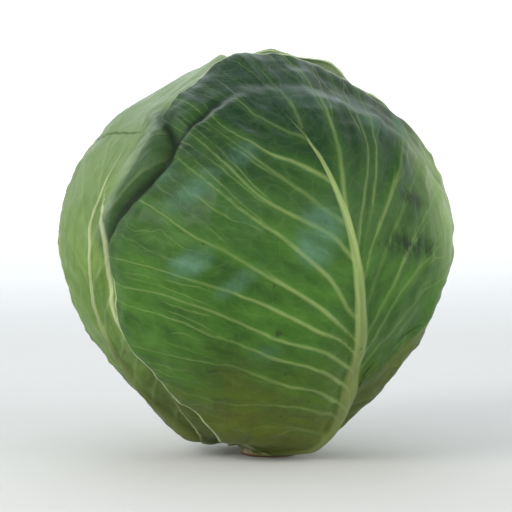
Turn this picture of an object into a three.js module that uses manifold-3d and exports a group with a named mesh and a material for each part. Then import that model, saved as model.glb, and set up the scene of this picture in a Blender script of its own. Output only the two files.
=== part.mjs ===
// A green cabbage head standing on its cut stem: a dense heart of folded inner leaves, seven wrapper leaves
// draped over it one after another, and the short stem that they all grow from.
// Millimetres, +Z up. The origin is the centre of the stem's cut face, and -Y is the side with the large front leaf.
import * as THREE from "three";
import Module from "manifold-3d";
import { mergeVertices } from "three/addons/utils/BufferGeometryUtils.js";

const wasm = await Module();
wasm.setup();

const DEGREE = Math.PI / 180;

// Head: the ball that the leaves are draped on, measured from its own centre.
// Its profile gives the heart's radius at angles up from the stem, in degrees: a dimple over the stem, full
// shoulders a little above the middle and a blunt point at the crown.
const CENTRE_HEIGHT = 92.5;
const CENTRE_OFFSET = -6;
const HEAD_PROFILE = [
  [0, 58], [14, 66.5], [24, 75], [36, 77.6], [50, 77], [65, 79.4], [80, 81], [92, 83.6], [104, 84.6], [120, 83.4],
  [135, 81], [148, 79.6], [160, 82], [170, 85.6], [180, 88.6],
];
const LUMP_HEIGHT = 0.8;

// Stem: its cut face, the butt and the wider crown that the leaf bases sit on.
const STEM_PROFILE = [
  [0, 0],
  [12.8, 0],
  [13.9, 0.9],
  [14.2, 3],
  [16, 5],
  [18.4, 8],
  [19.2, 13],
  [18.4, 18],
  [17, 21.6],
  [0, 21.6],
];
const STEM_SIDES = 28;
const STEM_CLEARANCE = 0.4;
const HEART_FLOOR = 22.4;
const HEART_DETAIL = 11;

// Leaves: the flat chart they are drawn in, their thickness and how they lie on each other.
const CHART_RADIUS = 88;
const CHART_MIDDLE = 88 * DEGREE;
const BEND_START = -88;
const LEAF_GAP = 0.9;
const HEART_SLACK = 0.7;
const BLADE_THICKNESS = 1.2;
const MARGIN_THICKNESS = 0.8;
const MARGIN_TAPER = 12;
const VEIN_HEIGHT = 1;
const VEIN_ALLOWANCE = 0.5;
const STEP_RAMP = 32;
const STEP_LEDGE = 4;
const COVER_REACH = 16;
const LIFT_WIDTH = 24;
const LIFT_FOOT = -105;
const LIFT_FULL = -70;
const LIFT_WAVE = 0.3;
const LIFT_WAVE_RADIUS = 8;
const RIB_STOP = 47;
const RIB_FOOT = -118;
const RIB_FADE = 30;
const RIB_WIDTH = { tip: 1.8, taper: 4.6, flare: 7, flarePower: 6 };
const RIB_HEIGHT = { tip: 0.5, taper: 3, flare: 1.4, flarePower: 5 };
const RIB_STEPS = [0, 0.55, 1];
const RIB_RELIEF = [1, 0.78, 0.06];
const RIB_COVER = { height: 1.1, width: 0.7, margin: 9 };
const RIB_SHARE_LIMIT = 0.4;
const VEIN_SPREAD = 0.6;
const VEIN_BOW = 0.2;
const VEIN_STRAIGHTENING = 0.24;
const ROWS = 22;
const BLADE_COLUMNS = 7;
const MARGIN_STEPS = 48;
const MARGIN_WAVES = 7;
const MARGIN_WAVE_HEIGHT = 1.5;

const smooth = (low, high, value) => {
  const t = Math.min(1, Math.max(0, (value - low) / (high - low)));
  return t * t * (3 - 2 * t);
};
const bell = (value, width) => Math.exp(-((value / width) ** 2));

// A direction from the head's centre, by its azimuth from the front towards the right and its angle up from the stem.
function direction(azimuth, polar) {
  const a = azimuth * DEGREE;
  const p = polar * DEGREE;
  return new THREE.Vector3(Math.sin(p) * Math.sin(a), -Math.sin(p) * Math.cos(a), -Math.cos(p));
}

// Furrows and rolls, each along a path of [azimuth, polar angle] points, in the layers from a given one outwards.
const FOLDS = [
  { path: [[-46, 135], [-34, 128], [-30, 121], [-34, 111], [-44, 103], [-48, 97], [-51, 80]], height: -2.4, width: 10 },
  { path: [[-50, 126], [-43, 120], [-45, 112], [-53, 104], [-59, 92]], height: 2.4, width: 9.5, from: 3 },
  { path: [[-30, 126], [-25, 135], [-20, 146]], height: -1.5, width: 9 },
  { path: [[72, 66], [56, 63], [45, 62], [41, 52], [42, 42]], height: -2.2, width: 11 },
  { path: [[-104, 128], [-80, 124], [-60, 126]], height: -1, width: 8 },
  { path: [[-110, 26], [-80, 19], [-40, 19], [-10, 26]], height: 4, width: 17, from: 3 },
  { path: [[-80, 62], [-52, 52], [-36, 40], [-24, 30]], height: -1.6, width: 10 },
  { path: [[150, 150], [120, 128], [112, 100], [120, 70]], height: -1.8, width: 11 },
  { path: [[-150, 150], [-128, 120], [-122, 92], [-128, 60]], height: -1.8, width: 11 },
].map((fold) => ({ from: 0, ...fold, points: fold.path.map(([azimuth, polar]) => direction(azimuth, polar)) }));

function foldHeight(fold, d) {
  let best = Infinity;
  let along = 0;
  const spans = fold.points.length - 1;
  for (let i = 0; i < spans; i++) {
    const from = fold.points[i];
    const step = fold.points[i + 1].clone().sub(from);
    const t = Math.min(1, Math.max(0, d.clone().sub(from).dot(step) / step.lengthSq()));
    const gap = from.clone().addScaledVector(step, t).distanceTo(d) * CHART_RADIUS;
    if (gap < best) {
      best = gap;
      along = (i + t) / spans;
    }
  }
  return fold.height * bell(best, fold.width) * Math.sin(Math.PI * (0.12 + 0.76 * along));
}

// Height of the folds that start at a layer.
function foldsAt(level, d) {
  return FOLDS.filter((fold) => fold.from === level).reduce((sum, fold) => sum + foldHeight(fold, d), 0);
}

const profileCurve = new THREE.SplineCurve(HEAD_PROFILE.map(([angle, radius]) => new THREE.Vector2(angle, radius)));

function profileRadius(angle) {
  const spans = HEAD_PROFILE.length - 1;
  let i = 0;
  while (i < spans - 1 && angle > HEAD_PROFILE[i + 1][0]) i++;
  const [from, to] = [HEAD_PROFILE[i][0], HEAD_PROFILE[i + 1][0]];
  return profileCurve.getPoint((i + (angle - from) / (to - from)) / spans).y;
}

// The heart's radius in a direction.
function heartRadius(d) {
  const polar = Math.acos(THREE.MathUtils.clamp(-d.z, -1, 1));
  const azimuth = Math.atan2(d.x, -d.y);
  const lumps = LUMP_HEIGHT * Math.sin(polar) * (Math.sin(3 * azimuth + 1.1) + Math.cos(2 * azimuth - 4 * polar));
  return profileRadius(polar / DEGREE) + lumps + foldsAt(0, d);
}

// One wrapper leaf, drawn flat in millimetres: x across from its midrib, y up from the middle of the head's side.
// Its chart is the azimuthal equidistant one, turned so that the midrib leans by a few degrees round the head.
class Leaf {
  constructor({ name, azimuth, lean, left, right, curl, colour }) {
    Object.assign(this, { name, azimuth, lean, curl, colour });
    const a = azimuth * DEGREE;
    const l = lean * DEGREE;
    const out = new THREE.Vector3(Math.sin(a), -Math.cos(a), 0);
    const side = new THREE.Vector3(Math.cos(a), Math.sin(a), 0);
    const down = new THREE.Vector3(0, 0, -Math.cos(l)).addScaledVector(side, Math.sin(l));
    this.across = new THREE.Vector3(0, 0, Math.sin(l)).addScaledVector(side, Math.cos(l));
    this.centre = down.clone().multiplyScalar(Math.cos(CHART_MIDDLE)).addScaledVector(out, Math.sin(CHART_MIDDLE));
    this.up = down.clone().multiplyScalar(-Math.sin(CHART_MIDDLE)).addScaledVector(out, Math.cos(CHART_MIDDLE));
    this.stem = this.flat(new THREE.Vector3(0, 0, -1));
    this.margins = [left, right].map((points) => new THREE.SplineCurve(points.map((p) => new THREE.Vector2(...p))));
    const steps = Array.from({ length: MARGIN_STEPS + 1 }, (_, i) => i / MARGIN_STEPS);
    this.outline = [...steps.map((s) => this.rim(0, s)), ...steps.reverse().slice(1).map((s) => this.rim(1, s))];
    this.ribTop = left.at(-1)[1] - RIB_STOP;
  }

  // A point on the wavy margin of one side, by its share of the way from the leaf base to the tip.
  rim(side, share) {
    const tangent = this.margins[side].getTangentAt(share);
    const wave = MARGIN_WAVE_HEIGHT * Math.sin(Math.PI * share) * Math.sin(2 * Math.PI * MARGIN_WAVES * share + this.azimuth);
    return this.margins[side].getPointAt(share).add(new THREE.Vector2(-tangent.y, tangent.x).multiplyScalar(wave));
  }

  // Chart position of a direction, before the bend at the base is taken out.
  flat(d) {
    const w = new THREE.Vector2(d.dot(this.across), d.dot(this.up));
    const angle = Math.acos(THREE.MathUtils.clamp(d.dot(this.centre), -1, 1));
    return w.lengthSq() < 1e-18 ? w : w.normalize().multiplyScalar(angle * CHART_RADIUS);
  }

  // How far the midrib swings sideways near its foot, to meet the stem.
  bend(y) {
    return this.stem.x * smooth(-BEND_START, -this.stem.y, -y);
  }

  place(d) {
    const p = this.flat(d);
    return p.setX(p.x - this.bend(p.y));
  }

  direction(x, y) {
    const p = new THREE.Vector2(x + this.bend(y), y);
    const angle = p.length() / CHART_RADIUS;
    if (angle < 1e-9) return this.centre.clone();
    p.normalize().multiplyScalar(Math.sin(angle));
    return this.centre.clone().multiplyScalar(Math.cos(angle)).addScaledVector(this.across, p.x).addScaledVector(this.up, p.y);
  }

  // Distance inside the margin, negative outside it.
  inside(p) {
    let best = Infinity;
    let within = false;
    const n = this.outline.length;
    for (let i = 0; i < n; i++) {
      const a = this.outline[i];
      const b = this.outline[(i + 1) % n];
      const dx = b.x - a.x;
      const dy = b.y - a.y;
      const t = Math.min(1, Math.max(0, ((p.x - a.x) * dx + (p.y - a.y) * dy) / (dx * dx + dy * dy || 1)));
      best = Math.min(best, Math.hypot(p.x - a.x - t * dx, p.y - a.y - t * dy));
      if (a.y > p.y !== b.y > p.y && p.x < a.x + ((p.y - a.y) / dy) * dx) within = !within;
    }
    return within ? best : -best;
  }

  // The share of the midrib that is still above a height, from one at its foot to none at its top.
  ribLeft(y) {
    return 1 - THREE.MathUtils.clamp((y - RIB_FOOT) / (this.ribTop - RIB_FOOT), 0, 1);
  }

  ribWidth(y) {
    const { tip, taper, flare, flarePower } = RIB_WIDTH;
    return tip + taper * this.ribLeft(y) + flare * this.ribLeft(y) ** flarePower;
  }

  ribHeight(y) {
    const { tip, taper, flare, flarePower } = RIB_HEIGHT;
    const fade = 1 - smooth(this.ribTop - RIB_FADE, this.ribTop + RIB_FADE, y);
    return (tip + taper * this.ribLeft(y) + flare * this.ribLeft(y) ** flarePower) * fade;
  }

  // The thickness that the leaf above has to clear: a smooth cover over the midrib and veins.
  cover(p) {
    const rib = this.ribHeight(p.y) * bell(p.x, RIB_COVER.width * this.ribWidth(p.y) + RIB_COVER.margin);
    return BLADE_THICKNESS + VEIN_ALLOWANCE + RIB_COVER.height * rib;
  }
}

// Where a leaf hangs free at its margin: clear of every leaf that lies over it.
function uncovered(level, d) {
  return leaves.slice(level + 1).reduce((free, leaf) => free * (1 - smooth(-COVER_REACH, -2, leaf.inside(leaf.place(d)))), 1);
}

// Radius of the head with the leaves below this level on it.
function skinRadius(level, d) {
  return leaves.slice(0, level).reduce((radius, leaf, i) => {
    const p = leaf.place(d);
    const step = smooth(-STEP_RAMP, -STEP_LEDGE, leaf.inside(p)) * (LEAF_GAP + leaf.cover(p));
    return radius + step + foldsAt(i + 1, d);
  }, heartRadius(d));
}

const at = (d, radius) => d.clone().multiplyScalar(radius).add(new THREE.Vector3(CENTRE_OFFSET, 0, CENTRE_HEIGHT));

// One side of a leaf as rows that follow its side veins, from the midrib out to the margin.
function veinRow(leaf, side, share) {
  const sign = side === 0 ? -1 : 1;
  const end = leaf.rim(side, share);
  const foot = leaf.rim(side, 0).y;
  const root = new THREE.Vector2(0, foot + (leaf.ribTop - foot) * (VEIN_SPREAD * share + (1 - VEIN_SPREAD) * share ** 3));
  const chord = end.clone().sub(root);
  const bulge = (VEIN_BOW - VEIN_STRAIGHTENING * share) * (1 - share ** 6);
  const knee = root.clone().add(end).multiplyScalar(0.5).add(new THREE.Vector2(-chord.y * sign, chord.x * sign).multiplyScalar(bulge));
  const curve = new THREE.QuadraticBezierCurve(root, knee, end);
  const rib = Math.min(leaf.ribWidth(root.y) / chord.length(), RIB_SHARE_LIMIT);
  const shares = RIB_STEPS.map((step) => step * rib);
  for (let i = 1; i <= BLADE_COLUMNS; i++) shares.push(rib + ((1 - rib) * i) / BLADE_COLUMNS);
  return shares.map((s) => curve.getPoint(s));
}

function leafGeometry(leaf, level) {
  const ribColumns = RIB_STEPS.length;
  const columns = BLADE_COLUMNS + ribColumns;
  const outer = [];
  const inner = [];
  const triangles = [];
  const addVertex = (p, row, column) => {
    const d = leaf.direction(p.x, p.y);
    const edge = Math.max(0, leaf.inside(p));
    const blade = MARGIN_THICKNESS + (BLADE_THICKNESS - MARGIN_THICKNESS) * smooth(0, MARGIN_TAPER, edge);
    const rib = leaf.ribHeight(p.y) * (RIB_RELIEF[column] ?? 0);
    const onVein = row % 2 === 1 && column >= ribColumns - 1 && column < columns - 1;
    const vein = onVein ? VEIN_HEIGHT * (1 - column / columns) : 0;
    const wave = 1 + LIFT_WAVE * Math.sin(p.y / LIFT_WAVE_RADIUS + p.x / CHART_RADIUS);
    const atMargin = (1 - smooth(0, LIFT_WIDTH, edge)) ** 2 * smooth(LIFT_FOOT, LIFT_FULL, p.y);
    const lift = leaf.curl * wave * atMargin * uncovered(level, d);
    const under = skinRadius(level, d) + LEAF_GAP + lift;
    inner.push(at(d, under));
    outer.push(at(d, under + blade + rib + vein));
    return outer.length - 1;
  };
  const grids = [0, 1].map((side) => {
    const grid = [];
    for (let row = 0; row <= ROWS; row++)
      grid.push(veinRow(leaf, side, row / ROWS).map((p, column) => addVertex(p, row, column)));
    return grid;
  });
  const count = outer.length;
  const quad = (a, b, c, e) => triangles.push(a, b, c, a, c, e);
  const facing = (flip, a, b, c, e) => (flip ? quad(e, c, b, a) : quad(a, b, c, e));
  grids.forEach((grid, side) => {
    const flip = side === 0;
    for (let i = 0; i < ROWS; i++)
      for (let j = 0; j < columns - 1; j++) {
        const corners = [grid[i][j], grid[i][j + 1], grid[i + 1][j + 1], grid[i + 1][j]];
        facing(flip, ...corners);
        facing(flip, ...[corners[1], corners[0], corners[3], corners[2]].map((v) => v + count));
      }
    const rim = [...grid[0], ...grid.slice(1).map((row) => row[columns - 1])];
    for (let i = 0; i < rim.length - 1; i++) facing(flip, rim[i], rim[i] + count, rim[i + 1] + count, rim[i + 1]);
  });
  const geometry = new THREE.BufferGeometry().setFromPoints([...outer, ...inner]);
  geometry.setIndex(triangles);
  return geometry;
}

// Closed solids for the cuts, and back again.
function solidOf(geometry) {
  const bare = new THREE.BufferGeometry().setAttribute("position", geometry.getAttribute("position"));
  if (geometry.index) bare.setIndex(geometry.index);
  const merged = mergeVertices(bare, 1e-3);
  const index = merged.index.array;
  const kept = [];
  for (let i = 0; i < index.length; i += 3) {
    const [a, b, c] = [index[i], index[i + 1], index[i + 2]];
    if (a !== b && b !== c && a !== c) kept.push(a, b, c);
  }
  return new wasm.Manifold(
    new wasm.Mesh({ numProp: 3, vertProperties: merged.attributes.position.array, triVerts: new Uint32Array(kept) }),
  );
}

function geometryOf(solid) {
  const { vertProperties, triVerts } = solid.getMesh();
  const geometry = new THREE.BufferGeometry().setAttribute("position", new THREE.BufferAttribute(vertProperties, 3));
  geometry.setIndex(new THREE.BufferAttribute(triVerts, 1));
  geometry.computeVertexNormals();
  return geometry;
}

function lathe(profile) {
  return new THREE.LatheGeometry(profile.map(([r, z]) => new THREE.Vector2(r, z)), STEM_SIDES).rotateX(Math.PI / 2);
}

// Heart: a ball with its own folds, flat where it sits on the stem.
function heartGeometry() {
  const ball = new THREE.IcosahedronGeometry(1, HEART_DETAIL);
  const position = ball.getAttribute("position");
  for (let i = 0; i < position.count; i++) {
    const d = new THREE.Vector3().fromBufferAttribute(position, i).normalize();
    const flat = d.z < -0.5 ? (CENTRE_HEIGHT - HEART_FLOOR) / -d.z : Infinity;
    const p = at(d, Math.min(heartRadius(d) - HEART_SLACK, flat));
    position.setXYZ(i, p.x, p.y, p.z);
  }
  return ball;
}

// Leaf margins, each from the leaf base up to the tip, the inmost leaf first and the outmost last.
const leaves = [
  new Leaf({
    name: "crown_leaf", azimuth: 148, lean: 13, curl: 1, colour: 0xa9bf7c,
    left: [[-20, -124], [-44, -104], [-70, -72], [-84, -30], [-84, 20], [-74, 66], [-52, 108], [-20, 132], [0, 140]],
    right: [[20, -124], [44, -104], [68, -72], [80, -30], [80, 20], [72, 66], [54, 108], [22, 132], [0, 140]],
  }),
  new Leaf({
    name: "rear_left_leaf", azimuth: -124, lean: 10, curl: 1.4, colour: 0x86a558,
    left: [[-20, -124], [-46, -108], [-74, -76], [-88, -32], [-90, 14], [-80, 58], [-54, 94], [-20, 110], [0, 113]],
    right: [[20, -124], [44, -106], [68, -76], [80, -34], [82, 10], [74, 54], [52, 90], [20, 109], [0, 113]],
  }),
  new Leaf({
    name: "right_leaf", azimuth: 67, lean: 4, curl: 1.6, colour: 0x8fae60,
    left: [[-20, -124], [-40, -106], [-58, -76], [-66, -34], [-66, 10], [-62, 52], [-44, 86], [-18, 104], [0, 107]],
    right: [[20, -124], [48, -106], [80, -76], [100, -34], [102, 12], [90, 58], [60, 92], [22, 106], [0, 107]],
  }),
  new Leaf({
    name: "left_leaf", azimuth: -55, lean: -3, curl: 1.4, colour: 0x9cb872,
    left: [[-22, -124], [-48, -108], [-74, -76], [-90, -34], [-96, 12], [-88, 58], [-62, 100], [-24, 122], [0, 125]],
    right: [[20, -124], [40, -106], [56, -72], [62, -30], [64, 14], [62, 58], [46, 98], [18, 121], [0, 125]],
  }),
  new Leaf({
    name: "back_leaf", azimuth: 178, lean: 14, curl: 1.8, colour: 0x6f9349,
    left: [[-22, -124], [-50, -110], [-82, -82], [-100, -40], [-101, 10], [-90, 58], [-62, 98], [-24, 121], [0, 124]],
    right: [[22, -124], [46, -108], [74, -80], [94, -38], [98, 12], [88, 60], [60, 98], [22, 120], [0, 124]],
  }),
  new Leaf({
    name: "under_leaf", azimuth: 16, lean: 12, curl: 1.4, colour: 0x5f7a3c,
    left: [[-20, -124], [-46, -112], [-72, -92], [-85, -66], [-88, -30], [-77, 18], [-52, 58], [-20, 84], [0, 88]],
    right: [[20, -124], [46, -108], [68, -84], [80, -50], [80, -8], [68, 30], [48, 62], [20, 84], [0, 88]],
  }),
  new Leaf({
    name: "front_leaf", azimuth: 27, lean: 15, curl: 1.2, colour: 0x4c6f35,
    left: [
      [-22, -123], [-48, -106], [-74, -85], [-89, -66], [-102, -47], [-111, -25], [-113, 0], [-109, 25],
      [-101, 46], [-80, 60], [-64, 74], [-58, 90], [-55, 107], [-36, 122], [-6, 132],
    ],
    right: [
      [14, -123], [10, -102], [7, -80], [8, -62], [18, -51], [36, -48], [62, -38], [80, -14], [84, 20], [80, 58],
      [64, 94], [34, 124], [-6, 132],
    ],
  }),
];

const cabbage = new THREE.Group();
function addPart(name, geometry, colour, roughness) {
  const material = new THREE.MeshStandardMaterial({ color: colour, roughness, metalness: 0 });
  const mesh = new THREE.Mesh(geometry, material);
  mesh.name = name;
  cabbage.add(mesh);
}

addPart("stem", geometryOf(solidOf(lathe(STEM_PROFILE))), 0xcfc9a0, 0.8);
addPart("heart", geometryOf(solidOf(heartGeometry())), 0xc3d196, 0.5);

// The leaf bases are cut back to clear the stem's flank.
const stemReach = Math.max(...STEM_PROFILE.map(([radius]) => radius)) + STEM_CLEARANCE;
const stemSpace = solidOf(
  lathe([[0, -CENTRE_HEIGHT], [stemReach, -CENTRE_HEIGHT], [stemReach, CENTRE_HEIGHT], [0, CENTRE_HEIGHT]]),
);
leaves.forEach((leaf, level) => {
  const blade = solidOf(leafGeometry(leaf, level)).subtract(stemSpace);
  addPart(leaf.name, geometryOf(blade), leaf.colour, 0.45);
});

export default cabbage;
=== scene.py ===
"""Dresses a green cabbage head: a cut stem, a dense heart and the broad wrapper leaves draped over it.

Lengths are millimetres unless a name ends in _m, and meshes are written in metres. The head's centre is the
middle of its ball. An azimuth of 0 faces the camera and grows towards the right, and a polar angle is
measured up from the stem. Ways are unit vectors from the head's centre, one row each, and a leaf's chart is
the plane that it is drawn on, x across from its midrib and y up towards its tip.
"""

import logging
import math
from dataclasses import dataclass, field
from enum import Enum

import bpy
import numpy as np
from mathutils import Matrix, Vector


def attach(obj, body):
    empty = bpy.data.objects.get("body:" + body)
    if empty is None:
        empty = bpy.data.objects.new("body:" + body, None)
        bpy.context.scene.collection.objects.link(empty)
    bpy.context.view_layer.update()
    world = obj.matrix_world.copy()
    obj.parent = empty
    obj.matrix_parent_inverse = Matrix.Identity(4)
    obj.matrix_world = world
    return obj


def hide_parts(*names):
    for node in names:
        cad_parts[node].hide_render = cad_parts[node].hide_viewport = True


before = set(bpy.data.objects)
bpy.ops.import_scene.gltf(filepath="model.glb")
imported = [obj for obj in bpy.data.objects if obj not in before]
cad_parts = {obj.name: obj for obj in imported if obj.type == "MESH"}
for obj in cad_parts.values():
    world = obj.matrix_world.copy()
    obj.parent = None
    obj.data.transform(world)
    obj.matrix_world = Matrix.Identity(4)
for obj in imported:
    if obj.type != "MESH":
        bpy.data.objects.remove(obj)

Points = np.ndarray
Values = np.ndarray
Colour = tuple[float, float, float]
Path = tuple[tuple[float, float], ...]
Socket = bpy.types.NodeSocket
LOG = logging.getLogger("cabbage")
MM = 0.001
CHART_UNIT = 100.0
BALL_RADIUS = 88.0
FAR = 99.0
TINY = 1e-9


class Side(Enum):
    """The two halves of a leaf blade, seen from outside with the tip up."""

    LEFT = -1
    RIGHT = 1


class Kind(Enum):
    """What a fold's path stands for on a leaf's surface."""

    FURROW = "furrow"
    RIDGE = "ridge"
    SCAR = "scar"
    # A crease is sunk into the form and also carries painted shade along its path.
    CREASE = "crease"


class Tint(Enum):
    """What a patch on a leaf does to its colour."""

    BLOOM = "bloom"
    # Blotches on the leaf, and in some bands painted shade.
    DARK = "dark"
    # A paler streaked zone, partly paler leaf and partly painted side light.
    PALE_AND_LIT = "pale"
    # Deeper green with painted shade toward a groove.
    DEEP_SHADE = "deep"


def ease(low: float, high: float, value: Values) -> Values:
    """Smooth step of value from 0 at low to 1 at high."""
    share = np.clip((value - low) / (high - low), 0.0, 1.0)
    return share * share * (3.0 - 2.0 * share)


def bell(value: Values, width: Values | float) -> Values:
    """Gaussian bump, 1 at zero, of the given width."""
    return np.exp(-((value / width) ** 2))


def lengths(rows: Points) -> Values:
    """Length of each row, kept above zero, as a column."""
    return np.maximum(np.linalg.norm(rows, axis=-1, keepdims=True), TINY)


def waves(points: Points, size: float, seed: int, count: int = 9) -> Values:
    """Soft seeded undulation, about -1 to 1.

    Args:
        points: positions or plane coordinates, one row each.
        size: rough distance between crests, in the points' unit.
        seed: picks the waves' directions and phases.
        count: number of waves added up.

    Returns:
        One value for each point.
    """
    draw = np.random.default_rng(seed)
    total = np.zeros(len(points))
    for _ in range(count):
        way = draw.normal(size=points.shape[1])
        way *= 2.0 * math.pi / (size * draw.uniform(0.7, 1.5) * np.linalg.norm(way))
        total += np.sin(points @ way + draw.uniform(0.0, 2.0 * math.pi))
    usual_peak = 0.62 * count**0.5 * 1.6
    return total / usual_peak


def direction(azimuth: float, polar: float) -> Points:
    """Unit vector from the head's centre at an azimuth and polar angle in degrees."""
    turn, rise = math.radians(azimuth), math.radians(polar)
    return np.array([math.sin(rise) * math.sin(turn), -math.sin(rise) * math.cos(turn), -math.cos(rise)])


class Spline:
    """A Catmull-Rom curve through plane points, walked by the share of its length."""

    SAMPLES = 800
    TANGENT_STEP = 1e-3

    def __init__(self, points: Path) -> None:
        """Samples the curve.

        Args:
            points: the points that it goes through.
        """
        known = np.array(points, float)
        spans = len(known) - 1
        walk = np.linspace(0.0, spans, self.SAMPLES + 1)
        span = np.minimum(walk.astype(int), spans - 1)
        part = (walk - span)[:, None]
        before, start = known[np.maximum(span - 1, 0)], known[span]
        end, after = known[span + 1], known[np.minimum(span + 2, spans)]
        leave, arrive = (end - before) / 2.0, (after - start) / 2.0
        cubic = 2 * start - 2 * end + leave + arrive
        square = -3 * start + 3 * end - 2 * leave - arrive
        self.curve = cubic * part**3 + square * part**2 + leave * part + start
        length = np.concatenate([[0.0], np.cumsum(np.linalg.norm(np.diff(self.curve, axis=0), axis=1))])
        self.shares = length / float(length[-1])

    def at(self, share: Values) -> Points:
        """Points on the curve at shares of its length."""
        return np.stack([np.interp(share, self.shares, self.curve[:, axis]) for axis in (0, 1)], axis=1)

    def heading(self, share: Values) -> Points:
        """Finds the way the curve runs.

        Args:
            share: shares of its length.

        Returns:
            Unit tangents there.
        """
        ahead, behind = np.minimum(share + self.TANGENT_STEP, 1.0), np.maximum(share - self.TANGENT_STEP, 0.0)
        run = self.at(ahead) - self.at(behind)
        return run / lengths(run)


@dataclass(frozen=True)
class Fold:
    """A furrow, ridge or scar along a path over the head, in the layers from a given one outwards.

    The path holds azimuth and polar angles in degrees, and the reach is the head's radius there.
    """

    path: Path
    height: float
    width: float
    start: int = 0
    kind: Kind = Kind.FURROW
    leaf: str = ""
    skew: float = 0.0
    reach: float = BALL_RADIUS

    def nearest(self, ways: Points) -> tuple[Values, Values]:
        """Measures how far directions lie from the path.

        Args:
            ways: directions from the head's centre.

        Returns:
            The signed distances in millimetres, and the share of the way along the path.
        """
        knots = [direction(*knot) for knot in self.path]
        spans = len(knots) - 1
        best = np.full(len(ways), np.inf)
        signed, along = np.zeros(len(ways)), np.zeros(len(ways))
        for index, (start, end) in enumerate(zip(knots[:-1], knots[1:])):
            run = end - start
            share = np.clip((ways - start) @ run / (run @ run), 0.0, 1.0)
            away = ways - start - share[:, None] * run
            gap = np.linalg.norm(away, axis=1) * self.reach
            side = np.sign(np.einsum("ij,ij->i", np.cross(run[None, :], away), ways))
            closer = gap < best
            best = np.where(closer, gap, best)
            signed = np.where(closer, gap * np.where(side == 0, 1, side), signed)
            along = np.where(closer, (index + share) / spans, along)
        return signed, along

    def rise(self, ways: Points) -> Values:
        """Works out the fold's height, which fades at both ends of its path.

        Args:
            ways: directions from the head's centre.

        Returns:
            The height for each direction.
        """
        signed, along = self.nearest(ways)
        lean = 1.0 + self.skew * np.clip(signed / self.width, -2.0, 2.0)
        return self.height * bell(signed, self.width) * lean * np.sin(math.pi * (0.12 + 0.76 * along))


@dataclass(frozen=True)
class Patch:
    """A soft oval on a leaf's chart, longer along its own turned x axis."""

    tint: Tint
    centre: tuple[float, float]
    size: tuple[float, float]
    turn: float = 0.0
    amount: float = 1.0

    def share(self, chart: Points) -> Values:
        """Works out how strongly the patch shows.

        Args:
            chart: chart positions.

        Returns:
            The amount for each position.
        """
        turn = math.radians(self.turn)
        x, y = (chart - np.array(self.centre)).T
        along, aside = x * math.cos(turn) + y * math.sin(turn), y * math.cos(turn) - x * math.sin(turn)
        return self.amount * (1.0 - ease(0.35, 1.35, np.hypot(along / self.size[0], aside / self.size[1])))


def polyline_gap(points: Points, line: Points) -> tuple[Values, Values]:
    """Distance of plane points to a polyline, and on which side of it they lie.

    Args:
        points: positions to measure.
        line: corners of the polyline.

    Returns:
        The distances, and a number that is positive to the left of the way along the line.
    """
    best = np.full(len(points), np.inf)
    turn = np.zeros(len(points))
    for start, end in zip(line[:-1], line[1:]):
        run = end - start
        share = np.clip((points - start) @ run / (run @ run), 0.0, 1.0)
        away = points - start - share[:, None] * run
        gap = np.einsum("ij,ij->i", away, away)
        turn = np.where(gap < best, run[0] * away[:, 1] - run[1] * away[:, 0], turn)
        best = np.minimum(gap, best)
    return np.sqrt(best), turn


@dataclass(frozen=True)
class Band:
    """A soft stripe along a path on a leaf's chart."""

    tint: Tint
    path: Path
    width: float
    amount: float = 1.0

    def share(self, chart: Points) -> Values:
        """How strongly the stripe shows at chart positions."""
        gap, _ = polyline_gap(chart, Spline(self.path).at(np.linspace(0.0, 1.0, 24)))
        return self.amount * (1.0 - ease(0.4, 1.3, gap / self.width))


@dataclass(frozen=True)
class Vein:
    """A side vein from the midrib to the margin, in chart millimetres, and how plainly it shows."""

    path: Path
    force: float = 1.0
    samples: int = 22
    overrun: float = 14.0

    def line(self) -> Points:
        """Draws the vein as a fine polyline, run on a little past the margin.

        Returns:
            The polyline's corners.
        """
        points = Spline(self.path).at(np.linspace(0.0, 1.0, self.samples))
        last = points[-1] - points[-3]
        ahead = points[-1] + last * (self.overrun / np.linalg.norm(last))
        return np.concatenate([points, [ahead]])


@dataclass(frozen=True)
class Waxes:
    """Finish of a leaf, as linear colours and shares.

    The crown colour is at the top of the head and the low one near the floor, where on the pale leaf it is
    darker as painted shade, and the midrib turns to its foot colour on the way down. Bloom is how much of the
    surface is misted with wax, network how plain the small veins are, vein how plain the side veins are,
    streak how strong the lengthwise streaks are, and lip how pale the margin is, partly as a painted
    highlight along its edge.
    """

    deep: Colour
    light: Colour
    crown: Colour
    low: Colour
    rib: Colour
    margin: Colour
    mist: Colour
    rib_foot: Colour = (0.2, 0.22, 0.09)
    bloom: float = 0.5
    network: float = 0.4
    vein: float = 0.7
    spots: float = 0.5
    streak: float = 0.3
    lip: float = 0.8


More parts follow.
